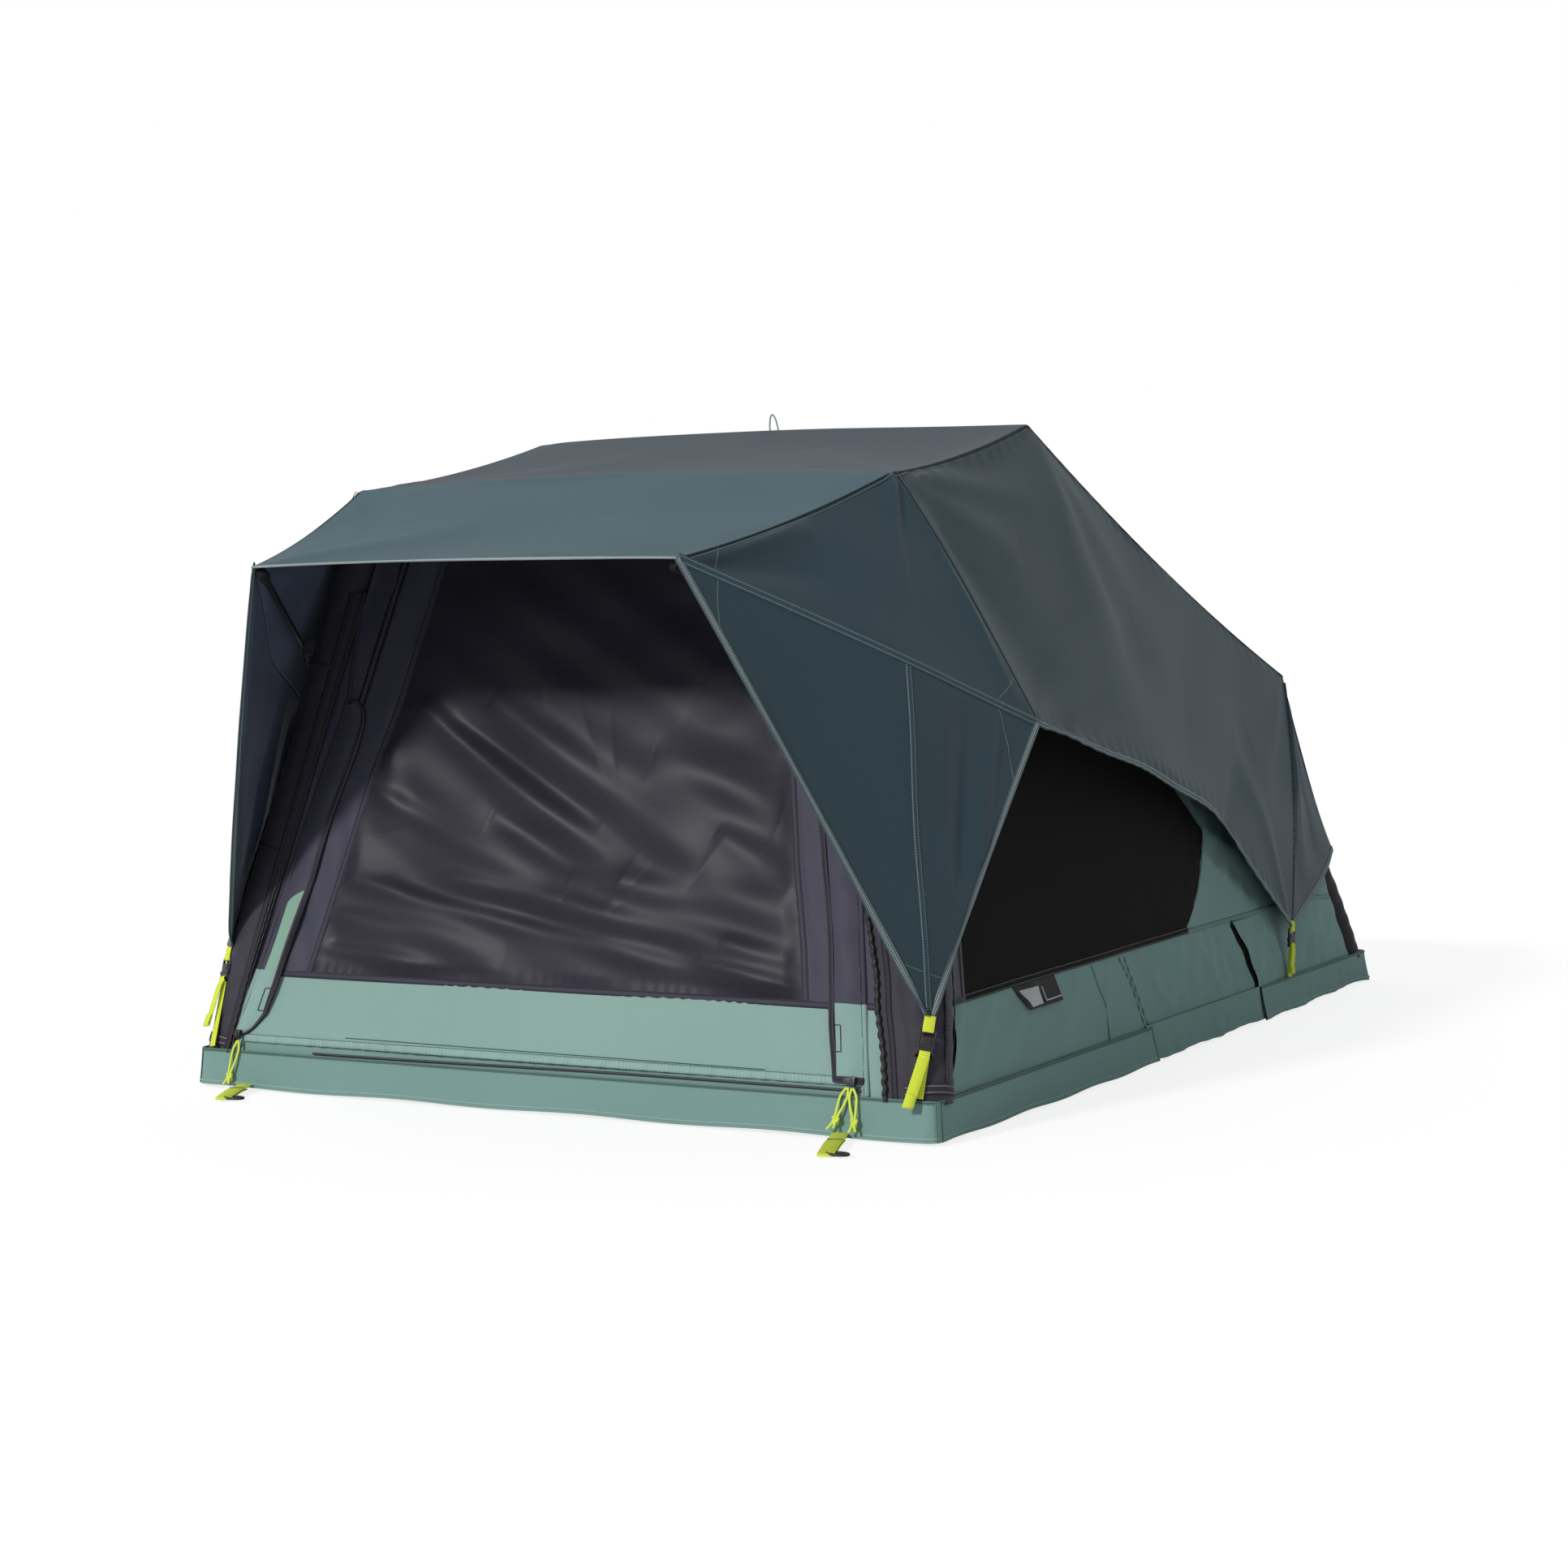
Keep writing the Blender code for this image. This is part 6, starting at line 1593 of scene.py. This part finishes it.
def skirt_piece(name, leaf, points, swell, look, lift=0.0, top=0.0625, low=0.0030, count=220, seed=71,
                ruffle=0.0):
    """A band of cloth round the base, from its seam on the wall to its hem, a little fuller at the hem."""
    path = rounded_path(points, 0.014, 400)
    direction = np.gradient(path, axis=0)
    direction /= np.linalg.norm(direction, axis=1, keepdims=True)
    outward = np.stack((direction[:, 1], -direction[:, 0], np.zeros(len(path))), -1)
    middle = np.array((0, LENGTH / 2 + NEAR_Y, 0))
    if (outward[10] @ (path[10] - middle)) < 0:
        outward = -outward

    def place(u, v):
        p, n = read(path, u), read(outward, u)
        y = p[..., 1] - NEAR_Y
        out = lift + (swell(y) + ruffle * ripple(p, 0.055, seed, (1, 1, 0))) * v ** 1.3
        z = top + (low - top) * v
        q = p + n * out[..., None]
        q[..., 2] = z + 0.0015 * np.sin(p[..., 0] * 19 + p[..., 1] * 23) * v
        return q
    cloth = Cloth(place, toward=outward[200])
    made = dress(sew(name, cloth, (count, 12), (look, "green")), leaf)
    declare(made)
    return cloth, made


def make_skirts():
    """The skirts of both leaves, with a gathered gusset between them at the fold."""
    def side_swell(y):
        return 0.005 + 0.009 * smoothstep(y, 0.03, 0.7)

    def far_swell(y):
        return 0.002 + 0.010 * (1 - smoothstep(y, 1.7, 2.3)) + 0.011 * smoothstep(y, 2.340, 2.370)

    h, near_end, far_start = HALF, 0.940, 1.578
    points = [at(-h, near_end, 0), at(-h, 0, 0), at(h, 0, 0), at(h, near_end, 0)]
    cloth, made = skirt_piece("skirt_cloth_near", "near", points, side_swell, "green", 0.0012, count=300)
    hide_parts("skirt_near")
    taped("skirt_hem_near", cloth.line([(0.002, 0.90), (0.998, 0.90)], 300), 0.003, "mint", lift=0.0002)
    taped("skirt_top_near", cloth.line([(0.002, 0.045), (0.998, 0.045)], 300), 0.005, "green_seam",
          lift=0.0002)
    total = 2 * near_end + 2 * h
    for side, sign in SIDES.items():
        u = 0.5 + sign * (h + 0.004) / total
        taped(f"skirt_corner_{side}", cloth.line([(u, 0.03), (u, 0.99)], 20), 0.012, "green_double",
              lift=0.0003)
        taped(f"skirt_end_{side}", cloth.line([(0.5 + sign * 0.4985, 0.02), (0.5 + sign * 0.4985, 0.99)], 20),
              0.006,
              "green_seam", lift=0.0003)
        for leaf, start, end in (("near", near_end - 0.03, FOLD_Y), ("far", FOLD_Y, far_start + 0.03)):
            pair = [at(sign * h, start, 0), at(sign * h, (start + end) / 2, 0), at(sign * h, end, 0)]
            skirt_piece(f"gusset_cloth_{leaf}_{side}", leaf, pair, lambda y: 0.010 + 0 * y, "green", 0.0,
                        top=0.066, low=0.0050, count=70, seed=73, ruffle=0.0012)
    points = [at(-h, far_start, 0), at(-h, LENGTH - 0.010, 0), at(h, LENGTH - 0.010, 0), at(h, far_start, 0)]
    cloth, made = skirt_piece("skirt_cloth_far", "far", points, far_swell, "green", 0.0014, top=0.066,
                              count=240,
                              ruffle=0.0012)
    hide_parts("skirt_far")
    taped("skirt_hem_far", cloth.line([(0.002, 0.90), (0.998, 0.90)], 240), 0.003, "mint", lift=0.0002)
    taped("skirt_top_far", cloth.line([(0.002, 0.045), (0.998, 0.045)], 240), 0.005, "green_seam",
          lift=0.0002)
    # painted shade: strips of black blackout cloth at the far skirt's two ends stand for the shade in the
    # gaps beside the gussets
    for side, u in (("left", 0.0012), ("right", 0.9988)):
        taped(f"skirt_gap_{side}", cloth.line([(u, 0.01), (u, 0.99)], 20), 0.007, "window", lift=0.0004)


def make_end_wall():
    """The wall at the far end, under the arch of the flysheet, with its own blind."""
    def half(z):
        return table(z, [(0.0556, 0.550), (0.575, 0.440)])

    def panel(left, right, top, bottom, lift=0.0):
        def place(u, v):
            z = top + (bottom - top) * v
            return at(left(z) * (1 - u) + right(z) * u, end_y(z) + lift, z)
        return place

    def relief(u, v, p):
        return 0.003 * ripple(p, 0.25,
                              81) * smoothstep(np.minimum(np.minimum(u, 1 - u), np.minimum(v, 1 - v)), 0, 0.1)
    back = (0, 1, 0)
    wall = Cloth(panel(lambda z: -half(z), half, 0.575, 0.0556), toward=back, extra=relief)
    made = dress(sew("end_wall_cloth", wall, (110, 50), ("green", "green")), "far")
    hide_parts("end_wall")
    declare(made)
    blind = Cloth(panel(lambda z: -half(z) + 0.11, lambda z: half(z) - 0.11, 0.500, 0.205, 0.0016),
                  toward=back,
                  extra=lambda u, v, p: 0.0015 * ripple(p, 0.2, 82))
    made = dress(sew("end_window_blind", blind, (70, 30), ("window", "window"), 0.0008), "far")
    declare(made)
    frame_line = blind.line([(0, 0), (1, 0), (1, 1), (0, 1), (0, 0)], 200)
    taped("end_window_rim", frame_line, 0.010, "window_tape", slot="window", lift=0.0004)
    taped("end_wall_seam", wall.line([(0.02, 0.78), (0.98, 0.78)], 120), 0.009, "green_double", slot="green")


# Straps, pulls and small parts


def buckle(name, origin, across, along, body, scale=1.0):
    """A side-release buckle: ladder bars, body with side openings, and the two prongs of its other half."""
    parts = [((0, 0.0, 0), (0.0140, 0.0016, 0.0022)), ((-0.0128, 0.0055, 0), (0.0014, 0.0065, 0.0022)),
             ((0.0128, 0.0055, 0), (0.0014, 0.0065, 0.0022)), ((0, 0.0115, 0), (0.0140, 0.0018, 0.0026)),
             ((0, 0.0180, 0), (0.0085, 0.0070, 0.0036)), ((-0.0115, 0.0190, 0), (0.0014, 0.0062, 0.0026)),
             ((0.0115, 0.0190, 0), (0.0014, 0.0062, 0.0026)), ((0, 0.0255, 0), (0.0142, 0.0026, 0.0040)),
             ((0, 0.0310, 0), (0.0125, 0.0036, 0.0036)), ((-0.0120, 0.0370, 0), (0.0013, 0.0040, 0.0022)),
             ((0.0120, 0.0370, 0), (0.0013, 0.0040, 0.0022)), ((0, 0.0350, 0.0012), (0.0120, 0.0014, 0.0018)),
             ((0, 0.0412, 0), (0.0132, 0.0015, 0.0022))]
    parts = [(tuple(c * scale for c in centre), tuple(c * scale for c in half)) for centre, half in parts]
    made = blocks(name, parts, origin, across, along, "plastic")
    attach(made, body)
    return made


def make_straps():
    """Each low corner of the flysheet: a sewn loop, its buckle, the tight webbing and the loose end."""
    feet = {"near": (0.622, -0.004, 0.066), "far": (0.654, 1.772, 0.066)}
    for side, sign in SIDES.items():
        for leaf, foot in feet.items():
            tip = TIPS[sign] if leaf == "near" else EAR
            top = at(sign * tip[0], tip[1], tip[2] + 0.004)
            end = at(sign * foot[0], foot[1], foot[2])
            line = end - top
            length = float(np.linalg.norm(line))
            d = line / length
            eye = np.array(strap_face(leaf, sign))
            across = np.cross(eye, d)
            across /= np.linalg.norm(across)
            out = np.cross(d, across)
            if out @ eye < 0:
                out = -out
            body = PLACE[leaf]
            scale = 0.92 if leaf == "near" else 0.80
            width = 0.0180 * scale
            start = 0.018 * scale
            loop = [top + out * 0.0015 - d * 0.004, top + d * 0.006 + out * 0.0022,
                    top + d * (start + 0.001) + out * 0.002,
                    top + d * (start + 0.0025), top + d * (start + 0.001) - out * 0.002,
                    top + d * 0.004 - out * 0.0015]
            made = ribbon(f"strap_loop_{leaf}_{side}", spline(loop, 30), across, width, 0.0014, "webbing")
            dress_rigid(made, body)
            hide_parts(f"corner_strap_{leaf}_{side}")
            made = buckle(f"buckle_{leaf}_{side}", top + d * start, across, d, body, scale)
            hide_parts(f"strap_buckle_{leaf}_{side}")
            low = start + 0.0412 * scale
            tight = [top + d * (low - 0.001) + out * 0.001, top + d * (low + 0.02), end]
            dress_rigid(ribbon(f"strap_tight_{leaf}_{side}", spline(tight, 30), across, width * 0.98, 0.0014,
                               "webbing"), body)
            drop = (0.082 if leaf == "near" else 0.070) * scale
            over = [(0.0320, 0.0010), (0.0345, 0.0044), (0.0385, 0.0050), (0.0425, 0.0034), (0.0440, 0.0012)]
            path = [top + d * (start + share * scale) + out * off for share, off in over]
            dress_rigid(ribbon(f"strap_turn_{leaf}_{side}", spline(path, 24), across, width * 0.96, 0.0013,
                               "webbing"), body)
            aside = across * (-1 if across[0] > 0 else 1)

            def hang(share, off):
                return top + d * (low + drop * share) + out * off + aside * drop * 0.16 * share
            tail = [hang(-0.02, 0.0030), hang(0.10, 0.0064), hang(0.55, 0.0085), hang(0.98, 0.0095),
                    hang(1.00, 0.0112), hang(0.97, 0.0126), hang(0.76, 0.0112)]
            made = ribbon(f"strap_tail_{leaf}_{side}", spline(tail, 60), across, width * 0.98, 0.0013,
                          "webbing")
            dress_rigid(made, body)


def strap_face(leaf, sign):
    """The way that a strap's flat side faces: outwards from its corner."""
    return (0.42 * sign, -0.90, 0.1) if leaf == "near" else (0.95 * sign, -0.25, 0.1)


def dress_rigid(made, body):
    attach(made, body)
    return made


PULLS = {
    "left": ((-0.572, 0.003, 0.079), (-0.582, -0.012, 0.020), (-0.585, -0.015, 0.008)),
    "right": ((0.5195, 0.003, 0.074), (0.5275, -0.014, 0.026), (0.5275, -0.018, 0.012)),
    "bottom": ((0.5110, 0.003, 0.075), (0.4985, -0.014, 0.028), (0.4925, -0.018, 0.015)),
}


def make_pulls():
    """Zip sliders, each with a doubled cord that ends in a knot and two short tails."""
    for name, (eye, knot, end) in PULLS.items():
        body = f"zip_slider_{name}"
        top, low, tip = at(*eye), at(*knot), at(*end)
        parts = [((0, 0, 0), (0.0045, 0.0075, 0.0012)), ((0, 0, 0.0035), (0.0040, 0.0065, 0.0010)),
                 ((0, 0.003, 0.0018), (0.0012, 0.0020, 0.0016)),
                 ((0, -0.002, 0.0052), (0.0011, 0.0055, 0.0008))]
        up = np.array((0, FRONT_LEAN, 1.0))
        across = (1, 0, 0) if name != "bottom" else (0.0, FRONT_LEAN, 1.0)
        along = up if name != "bottom" else (1.0, 0, 0)
        centre = top + FRONT_OUT / np.linalg.norm(FRONT_OUT) * 0.003 + np.array((0, 0, 0.008))
        made = dress_rigid(blocks(f"slider_{name}", parts, centre, across, along, "slider", 0.0005), body)
        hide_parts(f"zip_slider_{name}")
        for k, swing in enumerate((-1, 1)):
            bow = np.array((0.0055 * swing, -0.003, 0))
            start = top + np.array((0.0012 * swing, -0.0045, -0.001))
            path = [start, top * 0.72 + low * 0.28 + bow, top * 0.4 + low * 0.6 + bow * 0.8,
                    low + np.array((0.0016 * swing, -0.001, 0.003)),
                    low * 0.5 + tip * 0.5 + np.array((0.0030 * swing, -0.002, 0)),
                    tip + np.array((0.0055 * swing, -0.003, 0.002 * k))]
            cord(f"pull_{name}_{k}", path, 0.0040, "cord", body)
        turned_knot(f"pull_knot_{name}", low, 0.0060, "cord", body)


def make_tabs():
    """Folded webbing tabs under the near edge, each round an oval ring."""
    for side, (x, lean, y) in {"left": (-0.556, 0.040, -0.112), "right": (0.502, 0.046, -0.150)}.items():
        root, end = at(x, 0.040, 0.0085), at(x + lean, y, 0.0048)
        d = end - at(x, 0.0, 0.004)
        d /= np.linalg.norm(d)
        across = np.array((1.0, -d[0] / d[1], 0))
        path = [root, at(x, 0.012, 0.0080), at(x, -0.006, 0.0080), at(x + lean * 0.2, y * 0.2, 0.0085),
                at(x + lean * 0.6, y * 0.6, 0.0085), end, end + d * 0.0030 - np.array((0, 0, 0.0012)),
                end - np.array((0, 0, 0.0028)), at(x + lean * 0.6, y * 0.6, 0.0055),
                at(x + lean * 0.3, y * 0.3, 0.0052)]
        made = ribbon(f"tab_webbing_{side}", spline(path, 80), across, 0.0245, 0.0016, "webbing")
        dress_rigid(made, "base_near")
        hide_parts(f"ground_tab_{side}")
        turn = np.linspace(0, 2 * math.pi, 48)
        centre = end + np.array((0.014, 0.008, -0.0012))
        ring = centre + np.stack((0.0165 * np.cos(turn), 0.0100 * np.sin(turn), 0.0 * turn + 0.0006), -1)
        dress_rigid(tube(f"tab_ring_{side}", ring, 0.0021, "plastic", sides=10), "base_near")
        line = [at(x + lean * 0.45 + k, y * 0.45 + k * 0.4, 0.0100) for k in np.linspace(-0.0105, 0.0105, 8)]
        made = strip(f"tab_stitch_{side}", np.array(line), np.repeat([[0, 0, 1.0]], 8, 0), 0.0016,
                     "green_seam")
        dress_rigid(made, "base_near")


def make_loop():
    """The cord loop that stands on the ridge."""
    y, z = 0.787, 1.0895
    path = [at(-0.0075, y, z), at(-0.0085, y - 0.002, z + 0.014), at(-0.0060, y - 0.004, z + 0.030),
            at(-0.0015, y - 0.005, z + 0.0345), at(0.0035, y - 0.004, z + 0.027),
            at(0.0070, y - 0.002, z + 0.013),
            at(0.0082, y, z)]
    made = cord("ridge_cord", path, 0.0028, "binding", "base_near")
    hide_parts("ridge_loop")


def make_mattresses():
    """Foam mattresses in a quilted cover with piped edges."""
    for leaf in PLACE:
        node = f"mattress_{leaf}"
        low, high = (np.array(c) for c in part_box(node))
        centre, half = (low + high) / 2, (high - low) / 2 - 0.0012
        n, m = 61, 49
        u, v = np.meshgrid(np.linspace(-1, 1, n), np.linspace(-1, 1, m), indexing="ij")
        rim = (1 - np.abs(u) ** 26) * (1 - np.abs(v) ** 30)
        x, y = centre[0] + half[0] * u, centre[1] + half[1] * v
        quilt = 0.0016 * np.cos(x * 2 * math.pi / 0.11) * np.cos(y * 2 * math.pi / 0.11)
        rise = half[2] * np.clip(rim, 0, 1) ** 0.35
        top = np.stack((x, y, centre[2] + rise - (0.0018 - quilt) * rim), -1)
        under = np.stack((x, y, centre[2] - rise + 0.0004 * rim), -1)
        points = np.concatenate((top.reshape(-1, 3), under.reshape(-1, 3)))
        uv = np.stack((x, y), -1).reshape(-1, 2)
        faces = np.concatenate((grid_faces(n, m, 0, False), grid_faces(n, m, n * m, True))).tolist()
        made = new_mesh(f"{node}_cover", points, faces, np.concatenate((uv, uv)), ["mattress"], merge=True)
        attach(made, PLACE[leaf])
        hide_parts(node)


def make_pockets():
    """Reinforced pockets in the flysheet's corners, which the ends of the light rods push into."""
    for side, sign in SIDES.items():
        ends = {"awning": ((0.5485, 0.1445, 0.7152), (0.3492, -0.2245, 0.8181)),
                "wing": ((0.5610, 0.1680, 0.7120), (0.6560, 0.3410, 0.5885))}
        for rod, (start, end) in ends.items():
            a, b = at(sign * start[0], start[1], start[2]), at(sign * end[0], end[1], end[2])
            d = (b - a) / np.linalg.norm(b - a)
            path = [b - d * 0.040, b - d * 0.030, b - d * 0.012, b + d * 0.0005]
            made = tube(f"{rod}_pocket_{side}", even(path, 20), lambda run,
                        turn: 0.0072 + 0.0022 * np.sin(run * 60) ** 2
                        + 0 * turn, "pocket", sides=14)
            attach(made, f"{rod}_rod_{side}")


make_door()
make_front_wall()
make_beams()
make_walls()
make_skirts()
make_end_wall()
make_straps()
make_pulls()
make_tabs()
make_loop()
make_mattresses()
make_pockets()

PLAIN = (("frame", "aluminium"), ("mounting_rail", "rail"), ("floor_panel", "board"), ("hinge", "steel"),
         ("awning_rod", "rod"), ("wing_rod", "rod"), ("rod_socket", "plastic"))
for name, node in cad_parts.items():
    look = next((v for k, v in PLAIN if name.startswith(k)), None)
    if look:
        node.data.materials.clear()
        node.data.materials.append(LOOKS[look])
